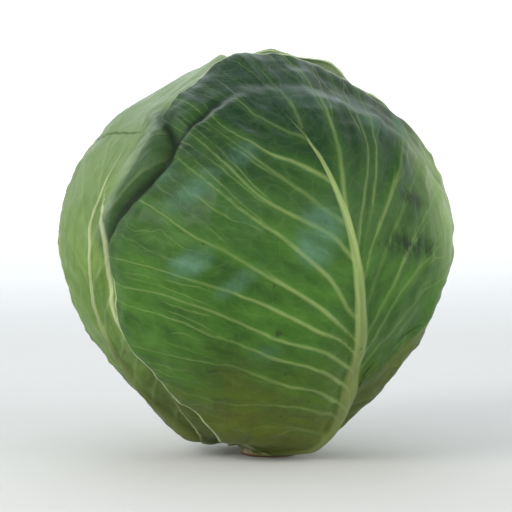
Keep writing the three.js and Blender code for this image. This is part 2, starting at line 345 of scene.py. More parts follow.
@dataclass
class Paint:
    """Short calls for building one material's node tree.

    A feed is what goes into a socket: another socket, a number or a colour.
    """

    material: bpy.types.Material

    @property
    def tree(self) -> bpy.types.NodeTree:
        """The material's node tree."""
        return self.material.node_tree

    @property
    def shader(self) -> bpy.types.Node:
        """The node of the material's surface."""
        return next(node for node in self.tree.nodes if node.type == "BSDF_PRINCIPLED")

    def node(self, kind: str, **settings: object) -> bpy.types.Node:
        """Adds a node.

        Args:
            kind: the node's type.
            **settings: properties to set on it.

        Returns:
            The node.
        """
        made = self.tree.nodes.new(kind)
        for name, value in settings.items():
            setattr(made, name, value)
        return made

    def feed(self, socket: Socket, value: object) -> None:
        """Links a socket to another, or gives it a constant.

        Args:
            socket: the input to set.
            value: the feed.
        """
        if isinstance(value, bpy.types.NodeSocket):
            self.tree.links.new(value, socket)
        elif isinstance(value, tuple) and len(value) == 3 and socket.type == "RGBA":
            socket.default_value = (*value, 1.0)
        else:
            socket.default_value = value

    def math(self, operation: str, *values: object, clamp: bool = False) -> Socket:
        """One arithmetic step.

        Args:
            operation: the step's name in Blender.
            *values: feeds of its numbers.
            clamp: whether the result is kept between 0 and 1.

        Returns:
            The result's socket.
        """
        made = self.node("ShaderNodeMath", operation=operation, use_clamp=clamp)
        for socket, value in zip(made.inputs, values):
            self.feed(socket, value)
        return made.outputs[0]

    def times(self, first: object, second: object) -> Socket:
        """Product of two feeds."""
        return self.math("MULTIPLY", first, second)

    def plus(self, first: object, second: object) -> Socket:
        """Sum of two feeds."""
        return self.math("ADD", first, second)

    def less(self, first: object, second: object) -> Socket:
        """Difference of two feeds."""
        return self.math("SUBTRACT", first, second)

    def rest(self, share: object) -> Socket:
        """What a share leaves of 1."""
        return self.math("SUBTRACT", 1.0, share, clamp=True)

    def spread(self, value: object, low: float, high: float, out: tuple[float, float] = (0.0, 1.0)) -> Socket:
        """Smooth map of a number to another range, clamped.

        Args:
            value: feed of the number.
            low: the number that gives the first result.
            high: the number that gives the second result.
            out: the two results.

        Returns:
            The mapped number's socket.
        """
        made = self.node("ShaderNodeMapRange", interpolation_type="SMOOTHSTEP")
        for socket, number in zip(made.inputs[:5], (value, low, high, *out)):
            self.feed(socket, number)
        return made.outputs[0]

    def blend(self, share: object, base: object, top: object) -> Socket:
        """Mixes two colours.

        Args:
            share: feed of the top colour's share.
            base: feed of the colour below.
            top: feed of the colour laid over it.

        Returns:
            The mixed colour's socket.
        """
        made = self.node("ShaderNodeMix", data_type="RGBA", blend_type="MIX")
        self.feed(made.inputs[0], share)
        self.feed(made.inputs[6], base)
        self.feed(made.inputs[7], top)
        return made.outputs[2]

    def field(self, name: str) -> Socket:
        """A number stored on the mesh's points."""
        return self.node("ShaderNodeAttribute", attribute_name=name).outputs["Fac"]

    def place(self) -> Socket:
        """The position on the piece, in metres."""
        return self.node("ShaderNodeTexCoord").outputs["Object"]

    def split(self, vector: Socket) -> list[Socket]:
        """A vector's three numbers.

        Args:
            vector: the vector's socket.

        Returns:
            The sockets of x, y and z.
        """
        made = self.node("ShaderNodeSeparateXYZ")
        self.feed(made.inputs[0], vector)
        return list(made.outputs)

    def round_axis(self, vector: Socket) -> tuple[Socket, Socket]:
        """Measures a position round the vertical axis.

        Args:
            vector: the position's socket.

        Returns:
            The sockets of its distance from the axis and of its height.
        """
        x, y, z = self.split(vector)
        return self.math("SQRT", self.plus(self.times(x, x), self.times(y, y))), z

    def mapped(self, vector: Socket, scale: tuple[float, float, float], turn: float = 0.0) -> Socket:
        """Scales a vector and turns it about Z.

        Args:
            vector: the vector's socket.
            scale: its factors.
            turn: the angle in degrees.

        Returns:
            The mapped vector's socket.
        """
        made = self.node("ShaderNodeMapping")
        self.feed(made.inputs["Vector"], vector)
        made.inputs["Rotation"].default_value = (0.0, 0.0, math.radians(turn))
        made.inputs["Scale"].default_value = scale
        return made.outputs[0]

    def noise(self, vector: Socket, scale: float, detail: float = 3.0, rough: float = 0.55) -> Socket:
        """Soft noise about 0.5.

        Args:
            vector: socket of the position.
            scale: how fine it is.
            detail: how many finer layers it has.
            rough: how strong they are.

        Returns:
            The noise's socket.
        """
        made = self.node("ShaderNodeTexNoise")
        self.feed(made.inputs["Vector"], vector)
        for name, value in (("Scale", scale), ("Detail", detail), ("Roughness", rough)):
            made.inputs[name].default_value = value
        return made.outputs["Fac"]

    def cells(self, vector: Socket, scale: float, feature: str = "DISTANCE_TO_EDGE") -> bpy.types.Node:
        """A cell pattern.

        Args:
            vector: socket of the position.
            scale: how fine it is.
            feature: what it gives.

        Returns:
            The pattern's node.
        """
        made = self.node("ShaderNodeTexVoronoi", feature=feature)
        self.feed(made.inputs["Vector"], vector)
        made.inputs["Scale"].default_value = scale
        return made

    def bump(self, height: object, distance_m: float, strength: float, below: Socket | None = None) -> Socket:
        """Raises a normal by a height field.

        Args:
            height: feed of the height, as a share.
            distance_m: the height of a whole share.
            strength: how much of it shows.
            below: socket of the normal to start from, or None for the mesh's own.

        Returns:
            The normal's socket.
        """
        made = self.node("ShaderNodeBump")
        made.inputs["Strength"].default_value = strength
        made.inputs["Distance"].default_value = distance_m
        self.feed(made.inputs["Height"], height)
        if below is not None:
            self.feed(made.inputs["Normal"], below)
        return made.outputs[0]

    def finish(self, colour: object, rough: object, normal: Socket | None, gloss: float) -> None:
        """Sets the surface.

        Args:
            colour: feed of the colour.
            rough: feed of the roughness.
            normal: socket of the normal, or None for the mesh's own.
            gloss: strength of the reflection.
        """
        shader = self.shader
        self.feed(shader.inputs["Base Color"], colour)
        self.feed(shader.inputs["Roughness"], rough)
        if normal is not None:
            self.feed(shader.inputs["Normal"], normal)
        shader.inputs["Specular IOR Level"].default_value = gloss


def new_paint(name: str) -> Paint:
    """Starts a material.

    Args:
        name: the material's name.

    Returns:
        A paint over the new material, with a plain surface.
    """
    material = bpy.data.materials.new(name)
    material.use_nodes = True
    return Paint(material)


@dataclass
class LeafPaint:
    """Builds a leaf's material from the chart and the vein fields stored on its mesh."""

    name: str
    wax: Waxes
    fork_reach: float = 0.42
    slant: float = -42.0
    gloss: float = 0.17
    # Colour of the painted shade in the creases.
    crease_shade_colour: Colour = (0.006, 0.014, 0.006)
    # Colour of the blotches and of the painted shade where the dark field says.
    blotch_and_shade: Colour = (0.014, 0.03, 0.01)
    fleck: Colour = (0.02, 0.028, 0.01)
    scar: Colour = (0.06, 0.1, 0.025)
    # Colour of the pale zone, partly paler leaf, partly painted side light.
    pale_lit_zone: Colour = (0.3, 0.41, 0.18)
    # Deeper green of the tongue, with painted shade toward the groove.
    tongue_shade_green: Colour = (0.016, 0.052, 0.013)

    def __post_init__(self) -> None:
        """Reads the stored fields and lays out the shared coordinates."""
        self.paint = new_paint(self.name)
        paint = self.paint
        self.chart = paint.node("ShaderNodeUVMap", uv_map="chart").outputs[0]
        across, up, _ = paint.split(self.chart)
        half = paint.node("ShaderNodeCombineXYZ")
        paint.feed(half.inputs[0], paint.math("ABSOLUTE", across))
        paint.feed(half.inputs[1], up)
        self.place = paint.place()
        self.height = paint.split(self.place)[2]
        self.slanted = paint.mapped(half.outputs[0], (1.0, 1.0, 1.0), self.slant)
        self.span = paint.field("span")

    def veins(self) -> tuple[Socket, Socket, Socket]:
        """Draws the side veins.

        Returns:
            The shares of the veins, of their forks and of the pale band along each.
        """
        paint, span = self.paint, self.span
        wander = paint.less(paint.noise(self.chart, 5.0, 2.0), 0.5)
        bent = paint.times(wander, paint.spread(span, 0.1, 0.6, (0.0, 0.16)))
        phase = paint.plus(paint.field("phase"), bent)
        off = paint.math("ABSOLUTE", paint.less(phase, paint.math("ROUND", phase)))
        pitch, force = paint.field("pitch"), paint.field("force")
        main_mm = paint.times(off, pitch)
        width = paint.spread(span, 0.0, 1.0, (1.3, 0.6))
        main = paint.rest(paint.spread(paint.math("DIVIDE", main_mm, width), 0.1, 1.3))
        main = paint.times(paint.times(main, force), paint.spread(pitch, 2.5, 8.0))
        frayed = paint.times(wander, paint.spread(span, 0.2, 1.0, (0.0, 0.7)))
        fork = paint.plus(paint.spread(span, 0.16, 1.0, (0.0, self.fork_reach)), frayed)
        fork_mm = paint.times(paint.math("ABSOLUTE", paint.less(off, fork)), pitch)
        forks = paint.rest(paint.spread(fork_mm, 0.1, 0.7))
        wide = paint.times(paint.spread(span, 0.2, 0.42), paint.spread(pitch, 5.0, 12.0))
        forks = paint.times(forks, wide)
        forks = paint.times(forks, paint.spread(paint.noise(self.place, 34.0, 2.0), 0.42, 0.62))
        main = paint.times(main, paint.spread(paint.noise(self.place, 24.0, 3.0), 0.32, 0.6, (0.5, 1.0)))
        halo = paint.times(paint.rest(paint.spread(main_mm, 0.6, 6.0)), force)
        return main, forks, halo

    def nets(self) -> tuple[Socket, Socket]:
        """Draws the small veins, drawn out along the side veins.

        Returns:
            The shares of the coarse and of the fine net.
        """
        paint = self.paint
        warp = paint.node("ShaderNodeTexNoise")
        paint.feed(warp.inputs["Vector"], self.chart)
        warp.inputs["Scale"].default_value = 9.0
        bent = paint.node("ShaderNodeVectorMath", operation="MULTIPLY_ADD")
        paint.feed(bent.inputs[0], warp.outputs["Color"])
        bent.inputs[1].default_value = (0.09, 0.09, 0.0)
        paint.feed(bent.inputs[2], self.slanted)
        coarse = paint.cells(paint.mapped(bent.outputs[0], (0.66, 1.45, 1.0)), 15.0).outputs["Distance"]
        fine = paint.cells(paint.mapped(bent.outputs[0], (0.8, 1.2, 1.0)), 38.0).outputs["Distance"]
        return paint.rest(paint.spread(coarse, 0.0, 0.09)), paint.rest(paint.spread(fine, 0.0, 0.13))

    def greens(self, mottle: Socket, broad: Socket) -> Socket:
        """Mixes the blade's colour without its veins: bluer at the crown, olive low down, and painted shade
        and side light in places.

        Args:
            mottle: socket of the fine noise.
            broad: socket of the coarse noise.

        Returns:
            The colour's socket.
        """
        paint, wax = self.paint, self.wax
        tone = paint.plus(paint.times(broad, 0.5), paint.times(mottle, 0.5))
        green = paint.blend(paint.spread(tone, 0.33, 0.7), wax.deep, wax.light)
        lift = paint.plus(self.height, paint.times(paint.less(broad, 0.5), 0.07))
        green = paint.blend(paint.spread(lift, 0.08, 0.155, (0.0, 0.9)), green, wax.crown)
        # Near the floor the low colour: olive, and on the pale leaf darker as painted shade.
        green = paint.blend(paint.spread(lift, 0.062, 0.012, (0.0, 0.9)), green, wax.low)
        streaks = paint.noise(paint.mapped(self.chart, (17.0, 1.3, 1.0)), 1.0, 4.0, 0.6)
        green = paint.blend(paint.spread(streaks, 0.52, 0.72, (0.0, wax.streak)), green, wax.deep)
        green = paint.blend(paint.spread(streaks, 0.47, 0.3, (0.0, 0.6 * wax.streak)), green, wax.light)
        # Deeper green of the tongue with painted shade toward the groove.
        green = paint.blend(paint.times(paint.field("deep"), 0.95), green, self.tongue_shade_green)
        # Pale streaked zone: paler leaf with painted side light.
        pale_and_lit = paint.times(paint.field("pale"), paint.spread(streaks, 0.66, 0.36, (0.5, 0.9)))
        return paint.blend(pale_and_lit, green, self.pale_lit_zone)

    def misted(self, smear: Socket) -> Socket:
        """Works out the bloom's share, from a general haze and the leaf's own patches.

        Args:
            smear: socket of the drawn-out noise.

        Returns:
            The share's socket.
        """
        paint, bloom = self.paint, self.wax.bloom
        cloud = paint.plus(paint.times(smear, 0.6), paint.times(paint.noise(self.place, 16.0, 2.0), 0.4))
        haze = paint.spread(cloud, 0.62 - 0.16 * bloom, 0.78 - 0.1 * bloom, (0.02 * bloom, 0.3 * bloom))
        patchy = paint.times(paint.field("bloom"), paint.spread(smear, 0.34, 0.6, (0.25, 1.0)))
        return paint.math("ADD", haze, paint.times(patchy, 0.75), clamp=True)

    def marks(self, green: Socket, misted: Socket) -> Socket:
        """Lays the bloom, the blotches with painted shade, the flecks and the scars over a colour.

        Args:
            green: the colour's socket.
            misted: socket of the bloom's share.

        Returns:
            The marked colour's socket.
        """
        paint, wax = self.paint, self.wax
        rubbed = paint.spread(paint.noise(self.place, 300.0, 3.0), 0.35, 0.6, (0.72, 1.0))
        green = paint.blend(paint.times(misted, rubbed), green, wax.mist)
        grain = paint.noise(paint.mapped(self.chart, (2.6, 0.8, 1.0)), 12.0, 5.0, 0.7)
        # Blotches, and painted shade along some margins and ridges, where the dark field says.
        blot_and_shade = paint.times(paint.field("dark"), paint.spread(grain, 0.4, 0.58))
        green = paint.blend(paint.times(blot_and_shade, 0.85), green, self.blotch_and_shade)
        flecks = paint.cells(self.chart, 17.0, "F1")
        pick = paint.node("ShaderNodeSeparateColor")
        paint.feed(pick.inputs[0], flecks.outputs["Color"])
        dot = paint.spread(flecks.outputs["Distance"], 0.15, 0.06)
        dot = paint.times(dot, paint.spread(pick.outputs[0], 0.9, 0.93))
        green = paint.blend(paint.times(dot, 0.75 * wax.spots), green, self.fleck)
        shake = paint.times(paint.less(paint.noise(self.place, 260.0), 0.5), 2.4)
        scar_mm = paint.math("ABSOLUTE", paint.plus(paint.field("scar"), shake))
        scar = paint.rest(paint.spread(scar_mm, 0.3, 1.2))
        return paint.blend(paint.times(scar, 0.85), green, self.scar)

    def ribbed(self, green: Socket) -> Socket:
        """Lays the sharp ridge and the midrib, grained along its length, over a colour.

        Args:
            green: the colour's socket.

        Returns:
            The ribbed colour's socket.
        """
        paint, wax = self.paint, self.wax
        ridge = paint.rest(paint.spread(paint.math("ABSOLUTE", paint.field("ridge")), 0.4, 1.9))
        green = paint.blend(paint.times(ridge, 0.8), green, wax.rib)
        grain = paint.noise(paint.mapped(self.chart, (52.0, 1.6, 1.0)), 1.0, 4.0, 0.6)
        rib = paint.blend(paint.spread(self.height, 0.085, 0.03), wax.rib, wax.rib_foot)
        uneven = paint.spread(grain, 0.3, 0.62, (0.95, 0.5))
        shown = paint.times(paint.spread(paint.field("rib"), 0.0, 0.75), uneven)
        return paint.blend(shown, green, rib)

    def edged(self, green: Socket) -> Socket:
        """Lays the unevenly pale margin, partly a painted highlight, and the pale underside over a colour.

        Args:
            green: the colour's socket.

        Returns:
            The edged colour's socket.
        """
        paint, wax = self.paint, self.wax
        uneven = paint.spread(paint.noise(self.place, 90.0), 0.32, 0.6, (0.3, 1.0))
        # Pale margin, partly a painted highlight along the edge's thickness.
        lip = paint.spread(paint.field("edge"), 1.4, 0.3)
        lip = paint.times(lip, paint.times(uneven, paint.spread(paint.field("dark"), 0.22, 0.02)))
        green = paint.blend(paint.times(lip, wax.lip), green, wax.margin)
        return paint.blend(paint.field("under"), green, wax.margin)

    def build(self) -> bpy.types.Material:
        """Puts the layers together and sets the surface.

        Returns:
            The leaf's material.
        """
        paint, wax = self.paint, self.wax
        main, forks, halo = self.veins()
        net, small = self.nets()
        broad = paint.noise(self.place, 26.0, 3.0)
        drawn_out = paint.mapped(self.slanted, (0.5, 1.5, 1.0))
        mottle = paint.noise(drawn_out, 9.0, 4.0, 0.55)
        smear = paint.noise(drawn_out, 5.5, 5.0, 0.6)
        green = self.greens(mottle, broad)
        green = paint.blend(paint.times(halo, 0.55 * wax.vein), green, wax.light)
        plain = paint.spread(self.span, 0.0, 1.0, (wax.vein, 0.4 * wax.vein))
        drawn = (
            (paint.times(small, 0.06 * wax.network)),
            (paint.times(net, 0.16 * wax.network)),
            (paint.times(forks, 0.34 * wax.vein)),
            (paint.times(main, plain)),
        )
        for share in drawn:
            green = paint.blend(share, green, wax.rib)
        misted = self.misted(smear)
        green = self.edged(self.marks(self.ribbed(green), misted))
        # Painted shade in the creases and in the gaps between the heart's caps.
        crease_shade_share = paint.times(paint.spread(paint.field("crease"), 0.05, 0.95), 0.9)
        green = paint.blend(crease_shade_share, green, self.crease_shade_colour)

        raised = paint.plus(paint.times(main, 0.7), paint.times(forks, 0.3))
        for share, height in ((net, 0.02 + 0.06 * wax.network), (small, 0.03), (mottle, 0.9)):
            raised = paint.plus(raised, paint.times(share, height))
        normal = paint.bump(raised, 0.0008, 0.45)
        normal = paint.bump(paint.noise(self.place, 900.0, 2.0), 0.00012, 0.4, normal)
        sheen = paint.spread(paint.noise(self.place, 60.0, 3.0), 0.3, 0.7, (0.4, 0.52))
        paint.finish(green, paint.plus(paint.times(misted, 0.3), sheen), normal, self.gloss)
        return paint.material


def add_mesh(
    name: str,
    points: Points,
    faces: list[list[int]],
    fields: dict[str, Values] | None = None,
    chart: Points | None = None,
) -> bpy.types.Object:
    """Makes a smooth mesh object from millimetre points.

    Args:
        name: the object's name.
        points: one row of x, y, z for each vertex.
        faces: vertex numbers of each face, facing outwards.
        fields: numbers to store on the vertices, or None.
        chart: plane coordinates of each vertex for the chart UV map, or None.

    Returns:
        The object, linked to the scene.
    """
    mesh = bpy.data.meshes.new(name)
    mesh.from_pydata((points * MM).tolist(), [], faces)
    for label, values in (fields or {}).items():
        mesh.attributes.new(label, "FLOAT", "POINT").data.foreach_set("value", values.astype(np.float32))
    if chart is not None:
        corners = np.zeros(len(mesh.loops), np.int32)
        mesh.loops.foreach_get("vertex_index", corners)
        mesh.uv_layers.new(name="chart").data.foreach_set("uv", chart[corners].astype(np.float32).ravel())
    mesh.shade_smooth()
    mesh.update()
    made = bpy.data.objects.new(name, mesh)
    bpy.context.scene.collection.objects.link(made)
    return made


def turned_faces(rows: int, around: int) -> list[list[int]]:
    """Faces of a turned shape, closed by a fan at each end.

    Args:
        rows: number of rings, the lowest first.
        around: number of vertices in a ring.

    Returns:
        Vertex numbers of each face. The two after the rings' are the lower and the upper pole.
    """
    here = np.arange(rows * around).reshape(rows, around)
    there = np.roll(here, -1, axis=1)
    low, high = rows * around, rows * around + 1
    faces = np.stack([here[:-1], there[:-1], there[1:], here[1:]], axis=-1).reshape(-1, 4).tolist()
    faces += [[int(there[0, spot]), int(here[0, spot]), low] for spot in range(around)]
    faces += [[int(here[-1, spot]), int(there[-1, spot]), high] for spot in range(around)]
    return faces


def hand_over(piece: bpy.types.Object, node: str) -> None:
    """Lets a finished piece stand for its CAD node.

    Args:
        piece: the piece's object.
        node: the node's name, which is its slot's too.
    """
    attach(piece, "root")
    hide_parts(node)
    LOG.info("%s: %d faces", piece.name, len(piece.data.polygons))


@dataclass
class Form:
    """The ball that the leaves are draped on, with its profile and folds.

    The profile gives the radius over the polar angle. The foot's fields widen it near the stem, less at the
    left and a little more at the sides than in front.
    """

    offset: float = -6.0
    height: float = 92.5
    floor: float = 22.4
    lump: float = 0.8
    swell: float = 1.1
    foot_drop: float = 12.5
    foot_round: float = 3.6
    foot_left: float = -5.5
    foot_from: float = 10.0
    foot_to: float = 37.0
    front_turn: float = 0.26
    left_turn: float = -1.3
    profile: Path = (
        (0, 58), (14, 66.5), (24, 75), (36, 77.6), (50, 77), (65, 79.4), (80, 81), (92, 83.6), (104, 84.6),
        (120, 83.4), (135, 81), (148, 79.6), (160, 82), (170, 85.6), (180, 88.6),
    )
    folds: tuple[Fold, ...] = (
        # The two creases also paint shade along their paths.
        Fold(
            ((-50, 140), (-38, 132), (-31, 126), (-30, 119), (-35, 112), (-44, 103), (-48, 96), (-50, 80)),
            -5.6, 4.6, kind=Kind.CREASE,
        ),
        Fold(((-46, 136), (-39, 128), (-36, 121), (-38, 114), (-43, 107), (-49, 99)), 3.0, 6.0, 3),
        Fold(((-31, 125), (-26, 131), (-20, 138), (-12, 145)), -3.4, 4.4, kind=Kind.CREASE),
        Fold(((72, 66), (56, 63), (45, 62), (41, 52), (42, 42)), -2.6, 9.0),
        Fold(((-104, 128), (-80, 124), (-60, 126)), -1.0, 6.0),
        Fold(((-110, 26), (-80, 19), (-40, 19), (-10, 26)), 4.0, 17.0, 3),
        Fold(((-80, 62), (-52, 52), (-36, 40), (-24, 30)), -1.6, 10.0),
        Fold(
            ((-150, 165), (-172, 167), (165, 167), (140, 165), (115, 160), (100, 152), (92, 142)),
            4.2, 11.0, 4,
        ),
        Fold(((150, 150), (120, 128), (112, 100), (120, 70)), -1.8, 10.0),
        Fold(((-150, 150), (-128, 120), (-122, 92), (-128, 60)), -1.8, 10.0),
        Fold(
            ((30, 88), (33, 97), (37, 104), (41, 109), (46, 115), (52, 120), (64, 127), (74, 132)),
            1.4, 3.4, 6, skew=-0.8,
        ),
        Fold(((57, 86), (55, 101), (56, 110), (63, 118), (79, 126)), 1.0, 2.6, 6, skew=-0.5),
        Fold(((63, 80), (62, 95), (61, 104), (74, 112), (80, 122)), 1.0, 2.2, 6, skew=-0.5),
        Fold(((-52, 104), (-51, 99), (-50, 89), (-50, 80), (-50, 70)), 1.0, 1.3, 3, Kind.RIDGE, "left_leaf"),
        Fold(
            ((-100, 121), (-86, 124), (-76, 125), (-65, 128), (-52, 129)),
            -0.5, 1.0, 3, Kind.SCAR, "left_leaf",
        ),
    )

    def folded(self, level: int, ways: Points) -> Values:
        """Height of the folds that start at a layer."""
        return sum((fold.rise(ways) for fold in self.folds if fold.start == level), np.zeros(len(ways)))

    def heart_radius(self, ways: Points) -> Values:
        """Works out the form below the leaves.

        Args:
            ways: directions from the head's centre.

        Returns:
            The radius in each direction.
        """
        polar = np.arccos(np.clip(-ways[:, 2], -1.0, 1.0))
        azimuth = np.arctan2(ways[:, 0], -ways[:, 1])
        curve = Spline(self.profile).curve
        base = np.interp(np.degrees(polar), curve[:, 0], curve[:, 1]) + self.swell
        front = 0.5 + 0.5 * np.cos(azimuth - self.front_turn)
        left = bell(azimuth - self.left_turn, 0.75)
        drop = self.foot_drop + self.foot_round * (1.0 - front**2) + self.foot_left * left
        base += drop * (1.0 - ease(self.foot_from, self.foot_to, np.degrees(polar)))
        lumps = self.lump * np.sin(polar) * (np.sin(3 * azimuth + 1.1) + np.cos(2 * azimuth - 4 * polar))
        return base + lumps + self.folded(0, ways)

    def point(self, ways: Points, radius: Values) -> Points:
        """Positions at a radius along directions from the head's centre."""
        return ways * np.asarray(radius)[:, None] + np.array([self.offset, 0.0, self.height])


@dataclass
class Leaf:
    """One wrapper leaf, drawn flat on its chart.

    The margins' points run from the leaf base up to the tip. Rows follow the side veins and columns run from
    the midrib to the margin. Sway is how far the midrib lies aside over y, and the left margin is tucked down
    between two heights.
    """

    name: str
    azimuth: float
    lean: float
    left: Path
    right: Path
    wax: Waxes
    curl: float = 1.4
    rows: int = 110
    columns: int = 46
    side_veins: int = 11
    seed: int = 1
    drawn_left: tuple[Vein, ...] = ()
    drawn_right: tuple[Vein, ...] = ()
    patches: tuple[Patch | Band, ...] = ()
    sway: Path = ((-170.0, 0.0), (0.0, 0.0), (170.0, 0.0))
    tucked: tuple[float, float] = (900.0, 901.0)
    rib_scale: float = 1.0
    radius: float = BALL_RADIUS
    middle: float = 88.0
    rib_stop: float = 47.0
    rib_foot: float = -118.0
    rib_columns: int = 8
    blade: float = 0.95
    thin: float = 0.5
    clearance: float = 0.5
    vein_height: float = 0.7
    vein_reach: float = 24.0
    margin_waves: int = 7
    margin_steps: int = 73
    wave_height: float = 1.5
    chart_reach: float = 170.0
    grid_step: float = 2.0
    splines: dict[Side, Spline] = field(init=False)
    veins: dict[Side, tuple[Vein, ...]] = field(init=False)

    def __post_init__(self) -> None:
        """Lays the chart on the head, measures the blade inside its margin and finds the side veins."""
        turn, tilt, middle = (math.radians(angle) for angle in (self.azimuth, self.lean, self.middle))
        out = np.array([math.sin(turn), -math.cos(turn), 0.0])
        side = np.array([math.cos(turn), math.sin(turn), 0.0])
        down = np.array([0.0, 0.0, -math.cos(tilt)]) + side * math.sin(tilt)
        self.across = np.array([0.0, 0.0, math.sin(tilt)]) + side * math.cos(tilt)
        self.centre = down * math.cos(middle) + out * math.sin(middle)
        self.upward = -down * math.sin(middle) + out * math.cos(middle)
        self.stem = self.flat(np.array([[0.0, 0.0, -1.0]]))[0]
        self.sway_curve = Spline(self.sway).curve.T
        self.splines = {Side.LEFT: Spline(self.left), Side.RIGHT: Spline(self.right)}
        self.rib_top = self.left[-1][1] - self.rib_stop
        steps = np.linspace(0.0, 1.0, self.margin_steps)
        outline = np.concatenate([self.rim(Side.LEFT, steps), self.rim(Side.RIGHT, steps[::-1])[1:]])
        self.lines = np.arange(-self.chart_reach, self.chart_reach + 1.0, self.grid_step)
        columns, rows = np.meshgrid(self.lines, self.lines, indexing="ij")
        spots = np.stack([columns.ravel(), rows.ravel()], axis=1)
        self.depths = self.measure(spots, outline).reshape(columns.shape)
        draw = np.random.default_rng(self.seed)
        drawn = {Side.LEFT: self.drawn_left, Side.RIGHT: self.drawn_right}
        self.veins = {half: drawn[half] or self.even_veins(half, draw) for half in Side}

    def even_veins(self, side: Side, draw: np.random.Generator) -> tuple[Vein, ...]:
        """Spaces side veins along one half, for a leaf whose veins aren't drawn one by one.

        Args:
            side: which half of the blade.
            draw: the leaf's random numbers.

        Returns:
            The veins from the base up.
        """
        count = self.side_veins
        shares = (np.arange(count) + 0.55 + draw.uniform(-0.22, 0.22, count)) / (count + 0.1)
        rows = self.grid(side, shares)[0][:, ::4]
        forces = draw.uniform(0.6, 1.0, count)
        return tuple(Vein(tuple(map(tuple, row)), force) for row, force in zip(rows, forces))

    @staticmethod
    def measure(spots: Points, outline: Points) -> Values:
        """Measures how far chart positions lie inside a closed outline.

        Args:
            spots: the positions.
            outline: the outline's corners.

        Returns:
            The distances, negative outside.
        """
        best = np.full(len(spots), np.inf)
        within = np.zeros(len(spots), bool)
        for start, end in zip(outline, np.roll(outline, -1, axis=0)):
            run = end - start
            share = np.clip((spots - start) @ run / max(run @ run, TINY), 0.0, 1.0)
            best = np.minimum(best, np.hypot(*(spots - start - share[:, None] * run).T))
            crosses = (start[1] > spots[:, 1]) != (end[1] > spots[:, 1])
            slope = run[0] / run[1] if run[1] else 0.0
            within ^= crosses & (spots[:, 0] < start[0] + slope * (spots[:, 1] - start[1]))
        return np.where(within, best, -best)

    def rim(self, side: Side, share: Values) -> Points:
        """Walks the wavy margin.

        Args:
            side: which half of the blade.
            share: shares of the way from the leaf base to the tip.

        Returns:
            The margin's points.
        """
        spline = self.splines[side]
        heading = spline.heading(share)
        turns = np.sin(2 * math.pi * self.margin_waves * share + self.azimuth)
        swing = self.wave_height * np.sin(math.pi * share) * turns
        return spline.at(share) + np.stack([-heading[:, 1], heading[:, 0]], axis=1) * swing[:, None]

    def flat(self, ways: Points) -> Points:
        """Lays directions on the chart, before the bend at the base is taken out.

        Args:
            ways: directions from the head's centre.

        Returns:
            The chart positions.
        """
        aside = np.stack([ways @ self.across, ways @ self.upward], axis=1)
        angle = np.arccos(np.clip(ways @ self.centre, -1.0, 1.0))
        return aside * (angle[:, None] * self.radius / lengths(aside))

    def bend(self, up: Values) -> Values:
        """How far the midrib swings sideways near its foot, to meet the stem, with its own sway."""
        return self.stem[0] * ease(88.0, -self.stem[1], -up) + np.interp(up, *self.sway_curve)

    def place(self, ways: Points) -> Points:
        """Lays directions on the chart.

        Args:
            ways: directions from the head's centre.

        Returns:
            The chart positions.
        """
        spots = self.flat(ways)
        spots[:, 0] -= self.bend(spots[:, 1])
        return spots

    def aim(self, spots: Points) -> Points:
        """Finds the directions of chart positions.

        Args:
            spots: the positions.

        Returns:
            The directions from the head's centre.
        """
        bent = spots + np.stack([self.bend(spots[:, 1]), np.zeros(len(spots))], axis=1)
        size = np.linalg.norm(bent, axis=1)
        angle = size / self.radius
        bent = bent * (np.sin(angle) / np.maximum(size, TINY))[:, None]
        return self.centre * np.cos(angle)[:, None] + self.across * bent[:, :1] + self.upward * bent[:, 1:]

    def inside(self, spots: Points) -> Values:
        """Looks up how far chart positions lie inside the margin.

        Args:
            spots: the positions.

        Returns:
            The distances, negative outside.
        """
        scaled = np.clip((spots - self.lines[0]) / self.grid_step, 0.0, len(self.lines) - 1.001)
        cell = scaled.astype(int)
        part = scaled - cell
        x, y = cell[:, 0], cell[:, 1]
        low = self.depths[x, y] * (1 - part[:, 0]) + self.depths[x + 1, y] * part[:, 0]
        high = self.depths[x, y + 1] * (1 - part[:, 0]) + self.depths[x + 1, y + 1] * part[:, 0]
        return low * (1 - part[:, 1]) + high * part[:, 1]

    def rib_left(self, up: Values) -> Values:
        """Share of the midrib still above a height."""
        return 1.0 - np.clip((up - self.rib_foot) / (self.rib_top - self.rib_foot), 0.0, 1.0)

    def rib_width(self, up: Values) -> Values:
        """Half the midrib's width."""
        left = self.rib_left(up)
        return (1.1 + 8.2 * left**1.15 + 3.8 * left**6) * self.rib_scale

    def rib_height(self, up: Values) -> Values:
        """How proud the midrib stands of the blade."""
        fade = 1.0 - ease(self.rib_top - 30.0, self.rib_top + 40.0, up)
        return (0.6 + 3.0 * self.rib_left(up) + 1.4 * self.rib_left(up) ** 5) * fade

    def cover(self, spots: Points) -> Values:
        """Thickness that the leaf above has to clear."""
        rib = self.rib_height(spots[:, 1]) * bell(spots[:, 0], self.rib_width(spots[:, 1]) + 2.5)
        return self.blade + self.clearance + rib

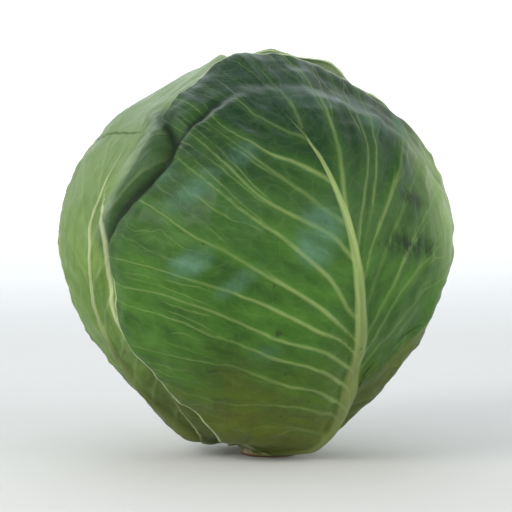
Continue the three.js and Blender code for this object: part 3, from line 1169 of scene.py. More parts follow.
    def grid(self, side: Side, shares: Values) -> tuple[Points, Values, Values]:
        """Rows of points that follow the side veins, from the midrib to the margin.

        Args:
            side: which half of the blade.
            shares: the rows, as shares of the way from base to tip.

        Returns:
            The points by row and column, the share of the way across, and the share of the rib's half width.
        """
        end = self.rim(side, shares)
        foot = self.rim(side, np.array([0.0]))[0, 1]
        climb = 0.6 * shares + 0.4 * shares**3
        root = np.stack([np.zeros(len(shares)), foot + (self.rib_top - foot) * climb], axis=1)
        chord = end - root
        length = np.linalg.norm(chord, axis=1)
        bulge = (0.2 - 0.24 * shares) * (1 - shares**6)
        turned = np.stack([-chord[:, 1], chord[:, 0]], axis=1) * side.value
        knee = (root + end) / 2 + turned * bulge[:, None]
        rib = np.minimum(self.rib_width(root[:, 1]) / length, 0.4)[:, None]
        inner = np.linspace(0.0, 1.0, self.rib_columns + 1)
        outer = 1.0 - (1.0 - np.linspace(0.0, 1.0, self.columns - self.rib_columns)[1:]) ** 1.15
        span = np.concatenate([rib * inner, rib + (1 - rib) * outer], axis=1)
        part = span[:, :, None]
        root, knee, end = root[:, None], knee[:, None], end[:, None]
        points = (1 - part) ** 2 * root + 2 * part * (1 - part) * knee + part**2 * end
        return points, span, span / rib

    def row_shares(self) -> Values:
        """Rows of the mesh, a little closer towards the tip and the foot."""
        even = np.linspace(0.0, 1.0, self.rows)
        return even - 0.02 * np.sin(2.0 * math.pi * even)

    def vein_fields(self, side: Side, spots: Points) -> tuple[Values, Values, Values, Values]:
        """Where chart positions lie among the side veins of one half.

        Args:
            side: which half of the blade.
            spots: the positions.

        Returns:
            The phase, whole on each vein; the millimetres between the two nearest veins; how plain they are;
            and the distance to the nearest one.
        """
        veins, reach = self.veins[side], self.vein_reach
        gaps = np.zeros((len(veins), len(spots)))
        above = np.zeros((len(veins), len(spots)), bool)
        for index, vein in enumerate(veins):
            gaps[index], turn = polyline_gap(spots, vein.line())
            above[index] = turn * side.value > 0.0
        count = above.sum(axis=0)
        every = np.arange(len(spots))
        low = np.where(count > 0, gaps[np.maximum(count - 1, 0), every], 0.0)
        high = np.where(count < len(veins), gaps[np.minimum(count, len(veins) - 1), every], 0.0)
        pitch = np.where((count > 0) & (count < len(veins)), low + high, reach)
        between = count + low / np.maximum(pitch, 1e-6)
        phase = np.where(count == 0, 1.0 - np.minimum(high / reach, 0.49), between)
        phase = np.where(count == len(veins), len(veins) + np.minimum(low / reach, 0.49), phase)
        force = np.interp(phase, np.arange(1, len(veins) + 1), [vein.force for vein in veins])
        return phase, pitch, force, np.abs(phase - np.round(phase)) * pitch


@dataclass
class Sheet:
    """A leaf worked out on its rows: its two faces, the fields on them and their chart positions."""

    outer: Points
    inner: Points
    fields: dict[str, Values]
    chart: Points


@dataclass
class Head:
    """The heart and the leaves in their layers, the inmost first.

    Gap, ramp and ledge say how a leaf climbs over the margin below it. Below the knee the leaves are pressed
    towards the floor down to the sole, and the flank is the stem's outline, which they keep clear of.
    """

    form: Form
    leaves: list[Leaf]
    gap: float = 0.5
    ramp: float = 15.0
    ledge: float = 1.5
    lift_width: float = 20.0
    sole: float = 0.7
    knee: float = 4.5
    swing_size: float = 46.0
    blister_size: float = 21.0
    dimple_size: float = 8.5
    swell_size: float = 62.0
    crown_calm: float = 0.7
    lip_round: float = 0.45
    inner_pale: float = 0.85
    flank_heights: tuple[float, ...] = (-5.0, 0.5, 3.0, 5.0, 8.0, 13.0, 18.0, 21.6, 30.0)
    flank_radii: tuple[float, ...] = (14.0, 14.0, 14.3, 16.0, 18.5, 19.3, 18.5, 17.2, 17.2)

    def skin(self, level: int, ways: Points) -> Values:
        """Works out the head with the leaves below a layer on it.

        Args:
            level: the layer.
            ways: directions from the head's centre.

        Returns:
            The radius in each direction.
        """
        radius = self.form.heart_radius(ways)
        for index, leaf in enumerate(self.leaves[:level]):
            spots = leaf.place(ways)
            radius += ease(-self.ramp, -self.ledge, leaf.inside(spots)) * (self.gap + leaf.cover(spots))
            radius += self.form.folded(index + 1, ways)
        return radius

    def free(self, level: int, ways: Points) -> Values:
        """Finds where no later leaf lies over a layer.

        Args:
            level: the layer.
            ways: directions from the head's centre.

        Returns:
            1 where it is free, falling to 0 under a later leaf.
        """
        clear = np.ones(len(ways))
        for leaf in self.leaves[level + 1 :]:
            clear *= 1 - ease(-14.0, -2.0, leaf.inside(leaf.place(ways)))
        return clear

    @staticmethod
    def rows(leaf: Leaf) -> tuple[Points, Values, dict[str, Values]]:
        """Lays out both halves' rows and what is known of them on the chart alone.

        Args:
            leaf: the leaf.

        Returns:
            The chart positions, the least distance from the margin in the lower rows, and the fields.
        """
        shares = leaf.row_shares()
        lower, upper = 1 - ease(0.35, 0.6, shares), 1 - ease(0.9, 0.98, shares)
        halves = []
        for side in Side:
            points, span, on_rib = leaf.grid(side, shares)
            run = np.repeat(np.linalg.norm(points[:, -1] - points[:, 0], axis=1) * lower, leaf.columns)
            points, span, on_rib = points.reshape(-1, 2), span.ravel(), on_rib.ravel()
            phase, pitch, force, gap = leaf.vein_fields(side, points)
            vein = leaf.vein_height * (1 - span) ** 0.7 * bell(gap, 0.9 + 1.1 * (1 - span))
            vein = vein * ease(0.5, 1.2, on_rib)
            pillow = 0.3 * np.sin(math.pi * np.clip(gap / 9.0, 0.0, 1.0)) ** 2
            halves.append({
                "chart": points,
                "short": 0.5 * (1 - span) * run,
                "span": span,
                "rib": np.clip(1 - on_rib**2.2, 0.0, 1.0) ** 1.1,
                "phase": phase,
                "pitch": pitch,
                "force": force * ease(0.0, 0.03, span) * np.repeat(upper, leaf.columns),
                "relief": vein * force + pillow,
                "left": np.full(len(span), float(side is Side.LEFT)),
            })
        fields = {name: np.concatenate([half[name] for half in halves]) for name in halves[0]}
        return fields.pop("chart"), fields.pop("short"), fields

    def marks(self, leaf: Leaf, ways: Points, chart: Points) -> dict[str, Values]:
        """Works out the fields of the folds and of the leaf's patches.

        Args:
            leaf: the leaf.
            ways: directions from the head's centre.
            chart: the same spots' chart positions.

        Returns:
            The fields by name.
        """
        marks = {}
        for kind in (Kind.RIDGE, Kind.SCAR):
            own = [fold for fold in self.form.folds if fold.kind is kind and fold.leaf == leaf.name]
            marks[kind.value] = own[0].nearest(ways)[0] if own else np.full(len(ways), FAR)
        # Painted shade along the creases, fading towards both ends of each.
        crease = np.zeros(len(ways))
        for fold in (fold for fold in self.form.folds if fold.kind is Kind.CREASE):
            gap, along = fold.nearest(ways)
            crease = np.maximum(crease, bell(gap, 0.62 * fold.width) * np.sin(math.pi * along) ** 0.5)
        marks[Kind.CREASE.value] = crease
        for tint in Tint:
            shown = (patch.share(chart) for patch in leaf.patches if patch.tint is tint)
            marks[tint.value] = sum(shown, np.zeros(len(ways)))
        return marks

    def puff(self, leaf: Leaf, chart: Points, ways: Points, clear: Values) -> Values:
        """Works out how far the blade bulges between its veins, less under other leaves and at the crown.

        Args:
            leaf: the leaf.
            chart: the chart positions.
            ways: the same spots' directions.
            clear: where no later leaf lies over them.

        Returns:
            The bulge's height.
        """
        blisters = np.maximum(0.0, 0.3 + waves(chart, self.blister_size, leaf.seed + 5)) * 0.42
        blisters = blisters + 0.25 * waves(chart, self.dimple_size, leaf.seed + 7)
        swell = 0.75 + 0.9 * waves(chart, self.swell_size, leaf.seed + 9)
        puff = (np.maximum(blisters, 0.0) + np.maximum(swell, 0.0) * 0.8) * (0.25 + 0.75 * clear)
        puff = puff * (1.0 - self.crown_calm * ease(0.62, 0.86, ways[:, 2]))
        return puff * ease(-118.0, -80.0, chart[:, 1])

    def sheet(self, leaf: Leaf, level: int) -> Sheet:
        """Works out one leaf's outer and inner faces.

        Args:
            leaf: the leaf.
            level: its layer.

        Returns:
            The leaf's sheet.
        """
        chart, short, fields = self.rows(leaf)
        up = chart[:, 1]
        ways = leaf.aim(chart)
        edge = np.where(fields["span"] > 0.9999, 0.0, np.maximum(short, leaf.inside(chart)))
        clear = self.free(level, ways)
        near = (1 - ease(0.0, self.lift_width, edge)) ** 2 * ease(-108.0, -60.0, up)
        low, high = leaf.tucked
        tuck = fields.pop("left") * ease(low - 8.0, low + 8.0, up) * (1 - ease(high - 8.0, high + 8.0, up))
        swing = 0.55 + 0.6 * waves(chart, self.swing_size, leaf.seed + 3)
        lift = leaf.curl * near * clear * np.maximum(swing, -0.1) * (1 - tuck)
        puff = self.puff(leaf, chart, ways, clear) * (1 - fields["rib"])
        under = self.skin(level, ways) + self.gap + lift + puff
        blade = leaf.thin + (leaf.blade - leaf.thin) * ease(0.0, 10.0, edge)
        over = under + blade + leaf.rib_height(up) * fields["rib"] + fields.pop("relief")
        fields["rib"] = fields["rib"] * (1.0 - ease(leaf.rib_top - 52.0, leaf.rib_top + 2.0, up))
        fields["edge"] = edge + 6.0 * tuck
        fields.update(self.marks(leaf, ways, chart))
        return Sheet(self.form.point(ways, over), self.form.point(ways, under), fields, chart)

    def settle(self, points: Points, level: int) -> None:
        """Presses a leaf's base against the floor and round the stem.

        Args:
            points: the leaf's positions, changed in place.
            level: its layer.
        """
        drop = self.knee - self.sole
        pressed = self.sole + drop * np.exp((points[:, 2] - self.knee) / drop)
        points[:, 2] = np.where(points[:, 2] < self.knee, pressed, points[:, 2])
        reach = np.hypot(points[:, 0], points[:, 1])
        flank = np.interp(points[:, 2], self.flank_heights, self.flank_radii) + 0.25 + 0.12 * level
        flank = np.where(points[:, 2] > self.flank_heights[-1], 0.0, flank)
        points[:, :2] *= np.maximum(flank / np.maximum(reach, 1e-6), 1.0)[:, None]

    def lip(self, sheet: Sheet, rim: Values, turned: bool) -> Points:
        """Rounds the margin between the two faces.

        Args:
            sheet: the leaf's sheet.
            rim: vertex numbers along one half's margin.
            turned: whether that half runs the other way round.

        Returns:
            The points of the margin's crest.
        """
        middle = (sheet.outer[rim] + sheet.inner[rim]) / 2
        radial = sheet.outer[rim] - sheet.inner[rim]
        push = np.cross(np.gradient(middle, axis=0), radial)
        push /= lengths(push)
        push *= 1 if turned else -1
        return middle + push * np.linalg.norm(radial, axis=1, keepdims=True) * self.lip_round

    def build(self, leaf: Leaf, level: int) -> bpy.types.Object:
        """Makes one leaf as a closed shell with a rounded margin.

        Args:
            leaf: the leaf.
            level: its layer.

        Returns:
            The leaf's object.
        """
        sheet = self.sheet(leaf, level)
        count = len(sheet.outer)
        left = np.arange(count // 2).reshape(leaf.rows, leaf.columns)
        right = np.concatenate([left[:, :1], left[:, 1:] + count // 2], axis=1)
        right[-1] = left[-1]
        faces, rims, crests = [], [], []
        for grid, turned in ((left, True), (right, False)):
            corners = [grid[:-1, :-1], grid[:-1, 1:], grid[1:, 1:], grid[1:, :-1]]
            quads = np.stack(corners, axis=-1).reshape(-1, 4)
            quads = quads[:, ::-1] if turned else quads
            faces += [quads, quads[:, ::-1] + count]
            rims.append((np.concatenate([grid[0], grid[1:, -1]]), turned))
        start = 2 * count
        for rim, turned in rims:
            crests.append(self.lip(sheet, rim, turned))
            crest = start + np.arange(len(rim))
            start += len(rim)
            for low, high in ((rim, crest), (crest, rim + count)):
                quads = np.stack([low[:-1], high[:-1], high[1:], low[1:]], axis=-1)
                faces.append(quads[:, ::-1] if turned else quads)
        points = np.concatenate([sheet.outer, sheet.inner, *crests])
        self.settle(points, level)
        source = np.concatenate([np.arange(count), np.arange(count), *(rim for rim, _ in rims)])
        fields = {name: values[source] for name, values in sheet.fields.items()}
        fields["under"] = np.zeros(len(source))
        fields["under"][count : 2 * count] = self.inner_pale
        quads = np.concatenate(faces)
        used, fresh = np.unique(quads, return_inverse=True)
        fields = {name: values[used] for name, values in fields.items()}
        chart = (sheet.chart / CHART_UNIT)[source][used]
        faces = fresh.reshape(quads.shape).tolist()
        piece = add_mesh(leaf.name + "_skin", points[used], faces, fields, chart)
        piece.data.materials.append(LeafPaint(leaf.name + "_wax", leaf.wax).build())
        return piece


@dataclass(frozen=True)
class Cap:
    """An inner leaf that folds over the crown, as a wavy-edged cap on the heart."""

    azimuth: float
    polar: float
    reach: float
    seed: int
    thickness: float = 1.5
    radius: float = BALL_RADIUS
    vein_pitch: float = 13.0

    def chart(self, ways: Points) -> Points:
        """Lays directions on a plane round the cap's middle, y up towards the crown.

        Args:
            ways: directions from the head's centre.

        Returns:
            The positions in millimetres.
        """
        middle = direction(self.azimuth, self.polar)
        turn = math.radians(self.azimuth)
        across = np.array([math.cos(turn), math.sin(turn), 0.0])
        aside = np.stack([ways @ across, ways @ np.cross(across, middle)], axis=1)
        angle = np.arccos(np.clip(ways @ middle, -1.0, 1.0))
        return aside * (angle[:, None] * self.radius / lengths(aside))

    def inside(self, chart: Points) -> Values:
        """Distance inside the cap's wavy margin."""
        ragged = 2.4 * waves(chart, 34.0, self.seed) + 0.7 * waves(chart, 9.0, self.seed + 1)
        return self.reach - np.linalg.norm(chart, axis=1) + ragged

    def veins(self, chart: Points) -> tuple[Values, Values]:
        """Draws the cap's veins.

        Args:
            chart: positions on the cap.

        Returns:
            The phase of the side veins, and the share of the midrib.
        """
        slope = chart[:, 1] - 0.75 * np.abs(chart[:, 0]) ** 0.9
        phase = slope / self.vein_pitch + 20.0 + 0.08 * waves(chart, 25.0, self.seed + 2)
        width = 1.0 + 3.2 * np.clip((30.0 - chart[:, 1]) / 110.0, 0.0, 1.0)
        return phase, bell(chart[:, 0], width) * (1.0 - ease(6.0, 40.0, chart[:, 1]))

    def relief(self, chart: Points, depth: Values, phase: Values, rib: Values) -> Values:
        """Works out the cap's height over what lies below it, most at its margin.

        Args:
            chart: positions on the cap.
            depth: how far they lie inside its margin.
            phase: the side veins' phase.
            rib: the midrib's share.

        Returns:
            The height at each position.
        """
        gap = np.abs(phase - np.round(phase)) * self.vein_pitch
        ledge = self.thickness * ease(-0.6, 0.9, depth) * (0.3 + 0.7 * (1.0 - ease(0.0, 60.0, depth)))
        ribs = 0.8 * rib + 0.35 * bell(gap, 1.6) + 0.5 * waves(chart, 24.0, self.seed + 3)
        return ledge + ribs * ease(0.0, 6.0, depth)


@dataclass
class Heart:
    """The dense inner head: pale leaves folded over each other, which only show at the crown.

    Slack is its gap to the leaves, and the caps on it rise at most as high as layers says.
    """

    form: Form
    around: int = 320
    up: int = 190
    slack: float = 1.4
    layers: float = 5.5
    caps: tuple[Cap, ...] = (
        Cap(20, 118, 96, 5), Cap(158, 118, 95, 8), Cap(-65, 122, 92, 11), Cap(72, 124, 88, 14),
        Cap(-150, 126, 84, 17), Cap(-12, 130, 74, 20), Cap(125, 132, 66, 23),
    )
    wax: Waxes = Waxes(
        deep=(0.3, 0.42, 0.13), light=(0.44, 0.54, 0.2), crown=(0.36, 0.48, 0.17), low=(0.5, 0.52, 0.26),
        rib=(0.6, 0.66, 0.38), margin=(0.6, 0.64, 0.4), mist=(0.5, 0.58, 0.42), bloom=0.3, network=0.6,
        vein=0.75,
    )

    def ways(self) -> Points:
        """Lays out the rings of directions, closer together at the crown, and the two poles.

        Returns:
            The directions from the head's centre.
        """
        share = np.linspace(0.0, 1.0, self.up + 1)[1:-1]
        polars = 180.0 * (0.6 * share + 0.4 * (1.0 - (1.0 - share) ** 2.0))
        azimuths = np.linspace(-180.0, 180.0, self.around, endpoint=False)
        rings = [direction(azimuth, polar) for polar in polars for azimuth in azimuths]
        return np.array([*rings, [0.0, 0.0, -1.0], [0.0, 0.0, 1.0]])

    def folded(self, ways: Points) -> tuple[Values, dict[str, Values], Points]:
        """Lays the caps over each other.

        Args:
            ways: directions from the head's centre.

        Returns:
            The height that they add, the fields of the finish, and the chart positions.
        """
        start = {
            "span": 0.3, "edge": 30.5, "rib": 0.0, "phase": 0.5, "pitch": 13.0, "ridge": 90.5, "scar": 90.5,
            "under": 0.0, "force": 0.8, "crease": 0.0, **{tint.value: 0.0 for tint in Tint},
        }
        fields = {name: np.full(len(ways), value) for name, value in start.items()}
        polar = np.degrees(np.arccos(np.clip(-ways[:, 2], -1, 1)))
        chart = np.stack([np.arctan2(ways[:, 0], -ways[:, 1]) * 0.8, (polar - 90.0) / 65.0], axis=1)
        raised = np.zeros(len(ways))
        for cap in self.caps:
            spots = cap.chart(ways)
            depth = cap.inside(spots)
            phase, rib = cap.veins(spots)
            raised += cap.relief(spots, depth, phase, rib)
            # Painted shade in a thin line just outside each cap's margin, cleared under the caps laid over
            # it.
            older = fields["crease"] * (1.0 - ease(-0.4, 0.6, depth))
            fields["crease"] = np.maximum(older, 0.6 * bell(depth + 0.9, 1.15))
            fields["edge"] = np.minimum(fields["edge"] + 30.0 * ease(1.5, 4.0, depth), np.abs(depth))
            fields["phase"] = np.where(depth > 0.0, phase, fields["phase"])
            fields["rib"] = np.where(depth > 0.0, rib, fields["rib"])
            chart = np.where(depth[:, None] > 0.0, spots / CHART_UNIT, chart)
        raised = self.layers * (1.0 - np.exp(-np.maximum(raised, 0.0) / self.layers))
        return raised, fields, chart

    def build(self) -> bpy.types.Object:
        """Makes the heart as a closed ball with a flat seat over the stem.

        Returns:
            The heart's object.
        """
        ways = self.ways()
        raised, fields, chart = self.folded(ways)
        radius = self.form.heart_radius(ways) - self.form.swell - self.slack - self.layers + raised
        seat = (self.form.height - self.form.floor) / np.maximum(-ways[:, 2], 1e-6)
        radius = np.where(ways[:, 2] < -0.5, np.minimum(radius, seat), radius)
        faces = turned_faces(self.up - 1, self.around)
        piece = add_mesh("heart_skin", self.form.point(ways, radius), faces, fields, chart)
        piece.data.materials.append(LeafPaint("heart_wax", self.wax).build())
        return piece


@dataclass(frozen=True)
class Ring:
    """A ring of vascular bundles on the stem's cut face."""

    name: str
    count: int
    radius: float
    depth: float
    seed: int


@dataclass
class Stem:
    """The short cut butt: a knobbly flank, a fibrous cut face and two rings of vascular bundles."""

    profile: Path = (
        (0.0, 0.55), (5.0, 0.5), (9.5, 0.4), (12.0, 0.15), (12.8, 0.0), (13.5, 0.3), (13.9, 0.9), (14.2, 3.0),
        (15.9, 5.0), (18.3, 8.0), (19.1, 13.0), (18.3, 18.0), (17.0, 21.6), (9.0, 21.6), (0.0, 21.6),
    )
    sides: int = 120
    steps: int = 70
    knob: float = 0.28
    grain: float = 0.1
    inset: float = 0.35
    rings: tuple[Ring, ...] = (Ring("bundle_ring", 30, 8.6, 0.42, 4), Ring("pith_ring", 14, 4.6, 0.5, 9))
    bundle_radius: float = 0.42
    bundle_sizes: tuple[float, float] = (0.6, 1.25)
    bundle_flatness: float = 0.4
    jitter: float = 0.7
    flesh: tuple[Colour, Colour] = ((0.17, 0.17, 0.08), (0.36, 0.34, 0.2))
    cut: Colour = (0.6, 0.52, 0.34)
    stain: Colour = (0.3, 0.2, 0.1)
    rind: Colour = (0.17, 0.1, 0.045)
    fibre: tuple[Colour, Colour] = ((0.16, 0.11, 0.05), (0.34, 0.25, 0.12))

    def turned(self) -> bpy.types.Object:
        """Turns the profile into a slightly knobbly solid.

        Returns:
            The butt's object.
        """
        knots = np.array(self.profile)
        run = np.concatenate([[0.0], np.cumsum(np.hypot(*np.diff(knots, axis=0).T))])
        stops = np.unique(np.concatenate([np.linspace(0.0, run[-1], self.steps), run]))[1:-1]
        radii, heights = (np.interp(stops, run, knots[:, axis]) for axis in (0, 1))
        turns = np.linspace(0.0, 2 * math.pi, self.sides, endpoint=False)
        radius, turn = (grid.ravel() for grid in np.meshgrid(radii, turns, indexing="ij"))
        height = np.repeat(heights, self.sides)
        spots = np.stack([np.cos(turn) * 14, np.sin(turn) * 14, height], axis=1)
        knobs = waves(spots, 6.0, 21) * self.knob + waves(spots, 2.4, 22) * self.grain
        flank = ease(1.0, 3.0, height) * (1 - ease(19.5, 21.0, height))
        radius = radius + knobs * flank - self.inset
        rings = np.stack([radius * np.cos(turn), radius * np.sin(turn), height], axis=-1)
        poles = [[0.0, 0.0, self.profile[0][1]], [0.0, 0.0, self.profile[-1][1]]]
        return add_mesh("stem_flesh", np.concatenate([rings, poles]), turned_faces(len(stops), self.sides))

    def bundle_tree(self) -> bpy.types.NodeTree:
        """Sets up the nodes that lay a ring of small domes on the cut face.

        Returns:
            The node group.
        """
        tree = bpy.data.node_groups.new("vascular_bundles", "GeometryNodeTree")
        sockets = (
            ("Geometry", "Geometry"), ("Ring radius", "Float"), ("Bundle radius", "Float"),
            ("Depth", "Float"), ("Count", "Int"), ("Seed", "Int"), ("Finish", "Material"),
        )
        for label, kind in sockets:
            tree.interface.new_socket(label, in_out="INPUT", socket_type=f"NodeSocket{kind}")
        tree.interface.new_socket("Geometry", in_out="OUTPUT", socket_type="NodeSocketGeometry")
        new, link = tree.nodes.new, tree.links.new
        given, made = new("NodeGroupInput"), new("NodeGroupOutput")
        circle = new("GeometryNodeMeshCircle")
        link(given.outputs["Count"], circle.inputs["Vertices"])
        link(given.outputs["Ring radius"], circle.inputs["Radius"])
        jitter = new("FunctionNodeRandomValue")
        jitter.data_type = "FLOAT_VECTOR"
        shake = self.jitter * MM
        jitter.inputs[0].default_value = (-shake, -shake, 0.0)
        jitter.inputs[1].default_value = (shake, shake, 0.0)
        link(given.outputs["Seed"], jitter.inputs["Seed"])
        sink = new("ShaderNodeCombineXYZ")
        link(given.outputs["Depth"], sink.inputs[2])
        shift = new("ShaderNodeVectorMath")
        link(jitter.outputs[0], shift.inputs[0])
        link(sink.outputs[0], shift.inputs[1])
        moved = new("GeometryNodeSetPosition")
        link(circle.outputs[0], moved.inputs["Geometry"])
        link(shift.outputs[0], moved.inputs["Offset"])
        ball = new("GeometryNodeMeshIcoSphere")
        ball.inputs["Subdivisions"].default_value = 2
        link(given.outputs["Bundle radius"], ball.inputs["Radius"])
        flat = new("GeometryNodeTransform")
        flat.inputs["Scale"].default_value = (1.0, 1.0, self.bundle_flatness)
        link(ball.outputs[0], flat.inputs["Geometry"])
        size = new("FunctionNodeRandomValue")
        size.inputs[2].default_value, size.inputs[3].default_value = self.bundle_sizes
        link(given.outputs["Seed"], size.inputs["Seed"])
        copies = new("GeometryNodeInstanceOnPoints")
        link(moved.outputs[0], copies.inputs["Points"])
        link(flat.outputs[0], copies.inputs["Instance"])
        link(size.outputs[1], copies.inputs["Scale"])
        real = new("GeometryNodeRealizeInstances")
        coat = new("GeometryNodeSetMaterial")
        link(copies.outputs[0], real.inputs[0])
        link(real.outputs[0], coat.inputs["Geometry"])
        link(given.outputs["Finish"], coat.inputs["Material"])
        link(coat.outputs[0], made.inputs[0])
        return tree

    def bundles(self, ring: Ring, finish: bpy.types.Material) -> bpy.types.Object:
        """Makes one ring of bundles as a plain mesh object.

        Args:
            ring: the ring.
            finish: the bundles' material.

        Returns:
            The ring's object.
        """
        carrier = bpy.data.objects.new(ring.name, bpy.data.meshes.new(ring.name))
        bpy.context.scene.collection.objects.link(carrier)
        tree = self.bundle_tree()
        modifier = carrier.modifiers.new("bundles", "NODES")
        modifier.node_group = tree
        given = {
            "Ring radius": ring.radius * MM, "Bundle radius": self.bundle_radius * MM,
            "Depth": ring.depth * MM, "Count": ring.count, "Seed": ring.seed, "Finish": finish,
        }
        for item in tree.interface.items_tree:
            if item.in_out == "INPUT" and item.name in given:
                modifier[item.identifier] = given[item.name]
        carrier.update_tag()
        graph = bpy.context.evaluated_depsgraph_get()
        mesh = bpy.data.meshes.new_from_object(carrier.evaluated_get(graph))
        carrier.modifiers.clear()
        carrier.data = mesh
        mesh.shade_smooth()
        return carrier

    def flesh_paint(self) -> bpy.types.Material:
        """Paints pale woody flesh, with a dry brown rim round the cut and fibres on the flank.

        Returns:
            The flesh's material.
        """
        paint = new_paint("stem_flesh")
        place = paint.place()
        reach, height = paint.round_axis(place)
        fibres = paint.noise(paint.mapped(place, (3.0, 3.0, 0.5)), 260.0, 4.0, 0.65)
        colour = paint.blend(paint.spread(fibres, 0.35, 0.68), *self.flesh)
        stain = paint.noise(place, 150.0, 4.0, 0.6)
        cut = paint.spread(height, 0.0022, 0.0008)
        rim = paint.times(cut, paint.spread(paint.plus(reach, paint.times(stain, 0.004)), 0.0118, 0.0152))
        colour = paint.blend(paint.times(cut, 0.75), colour, self.cut)
        colour = paint.blend(paint.times(cut, paint.spread(stain, 0.45, 0.7, (0.0, 0.6))), colour, self.stain)
        colour = paint.blend(rim, colour, self.rind)
        normal = paint.bump(paint.plus(fibres, stain), 0.0006, 0.6)
        paint.finish(colour, paint.spread(stain, 0.3, 0.7, (0.6, 0.85)), normal, gloss=0.3)
        return paint.material

    def fibre_paint(self) -> bpy.types.Material:
        """Paints the dry brown bundles.

        Returns:
            The bundles' material.
        """
        paint = new_paint("bundle_fibre")
        tint = paint.blend(paint.noise(paint.place(), 700.0), *self.fibre)
        paint.finish(tint, 0.8, None, gloss=0.25)
        return paint.material

    def build(self) -> bpy.types.Object:
        """Makes the butt with its bundles as one piece.

        Returns:
            The stem's object.
        """
        body = self.turned()
        body.data.materials.append(self.flesh_paint())
        finish = self.fibre_paint()
        rings = [self.bundles(ring, finish) for ring in self.rings]
        bpy.ops.object.select_all(action="DESELECT")
        for piece in [*rings, body]:
            piece.select_set(True)
        bpy.context.view_layer.objects.active = body
        bpy.ops.object.join()
        return body


@dataclass(frozen=True)
class Lamp:
    """A soft square lamp, with its place and size in metres and its power in watts."""

    name: str
    place_m: tuple[float, float, float]
    size_m: float
    power: float
    colour: Colour


@dataclass
class Studio:
    """A plain pale sweep, soft lights and the camera.

    The lights are a broad cool one from above, a key from the upper left, a weaker fill and one from behind.
    """

    aim: tuple[float, float, float] = (-6.2, 0.0, 90.0)
    distance: float = 1000.0
    elevation: float = 3.0
    frame_width: float = 232.1
    sensor: float = 36.0
    floor_radius_m: float = 1.9
    wall_top_m: float = 3.4
    floor_rings: int = 6
    bend_rings: int = 20
    floor_sides: int = 96
    paper: tuple[Colour, Colour] = ((0.66, 0.66, 0.65), (0.7, 0.7, 0.69))
    glow_colour: Colour = (0.97, 0.985, 1.0)
    wall_glow: float = 0.55
    lamp_aim_m: tuple[float, float, float] = (0.0, 0.0, 0.09)
    sky_colour: Colour = (0.93, 0.96, 1.0)
    sky_power: float = 0.22
    lamps: tuple[Lamp, ...] = (
        Lamp("sky", (0.0, 0.0, 1.5), 1.2, 2.2, (0.86, 0.93, 1.0)),
        Lamp("key", (-1.0, -0.95, 0.75), 0.7, 12.6, (1.0, 0.98, 0.93)),
        Lamp("fill", (1.1, -0.9, 0.5), 0.8, 6.6, (1.0, 0.99, 0.95)),
        Lamp("rear", (-0.1, 1.25, 1.05), 1.1, 6.5, (0.78, 0.89, 1.0)),
    )

    @staticmethod
    def pointed(made: bpy.types.Object, place: Vector, target: Vector) -> None:
        """Sets a lamp or a camera in its place.

        Args:
            made: its object, which is linked to the scene.
            place: where it stands, in metres.
            target: what it looks at, in metres.
        """
        bpy.context.scene.collection.objects.link(made)
        made.location = place
        made.rotation_euler = (target - made.location).to_track_quat("-Z", "Y").to_euler()

    def camera(self) -> None:
        """Sets the camera at the photograph's height and reach."""
        data = bpy.data.cameras.new("camera")
        data.sensor_width = self.sensor
        data.lens = self.sensor * self.distance / self.frame_width
        data.clip_end = 20.0
        made = bpy.data.objects.new("camera", data)
        rise = math.radians(self.elevation)
        target = Vector(self.aim) * MM
        back = Vector((0.0, -math.cos(rise), math.sin(rise)))
        self.pointed(made, target + back * self.distance * MM, target)
        bpy.context.scene.camera = made

    def floor(self) -> None:
        """Makes a seamless pale floor that rises far out into a round wall."""
        reach = self.floor_radius_m
        bends = np.linspace(0.0, math.pi / 2, self.bend_rings)
        line = [(reach * ring / self.floor_rings, 0.0) for ring in range(1, self.floor_rings + 1)]
        line += [(reach + math.sin(bend), 1.0 - math.cos(bend)) for bend in bends[1:]]
        line.append((reach + 1.0, self.wall_top_m))
        count = self.floor_sides
        turns = np.linspace(0.0, 2 * math.pi, count, endpoint=False)
        rings = [
            (radius * math.cos(turn), radius * math.sin(turn), height)
            for radius, height in line
            for turn in turns
        ]
        points = np.array([(0.0, 0.0, 0.0), *rings]) / MM
        faces = [[0, 1 + side, 1 + (side + 1) % count] for side in range(count)]
        for low in range(1, (len(line) - 1) * count + 1, count):
            high = low + count
            faces += [
                [low + side, high + side, high + (side + 1) % count, low + (side + 1) % count]
                for side in range(count)
            ]
        made = add_mesh("floor", points, faces)
        made.data.materials.append(self.floor_paint())

    def floor_paint(self) -> bpy.types.Material:
        """Paints the paper, which glows softly far out so that the wall stays pale.

        Returns:
            The floor's material.
        """
        paint = new_paint("floor_paper")
        place = paint.place()
        tint = paint.blend(paint.noise(place, 3.0), *self.paper)
        reach, height = paint.round_axis(place)
        glow = paint.spread(paint.plus(reach, height), 0.5, 2.6, (0.0, self.wall_glow))
        paint.feed(paint.shader.inputs["Emission Color"], self.glow_colour)
        paint.feed(paint.shader.inputs["Emission Strength"], glow)
        paint.finish(tint, 0.9, None, gloss=0.1)
        return paint.material

    def lights(self) -> None:
        """Sets up the lamps and the pale sky."""
        for lamp in self.lamps:
            data = bpy.data.lights.new(lamp.name, "AREA")
            data.shape = "SQUARE"
            data.size, data.energy, data.color = lamp.size_m, lamp.power, lamp.colour
            made = bpy.data.objects.new(lamp.name, data)
            self.pointed(made, Vector(lamp.place_m), Vector(self.lamp_aim_m))
        world = bpy.data.worlds.new("studio")
        world.use_nodes = True
        back = world.node_tree.nodes["Background"]
        back.inputs["Color"].default_value = (*self.sky_colour, 1.0)
        back.inputs["Strength"].default_value = self.sky_power
        bpy.context.scene.world = world
        bpy.context.scene.view_settings.view_transform = "Standard"


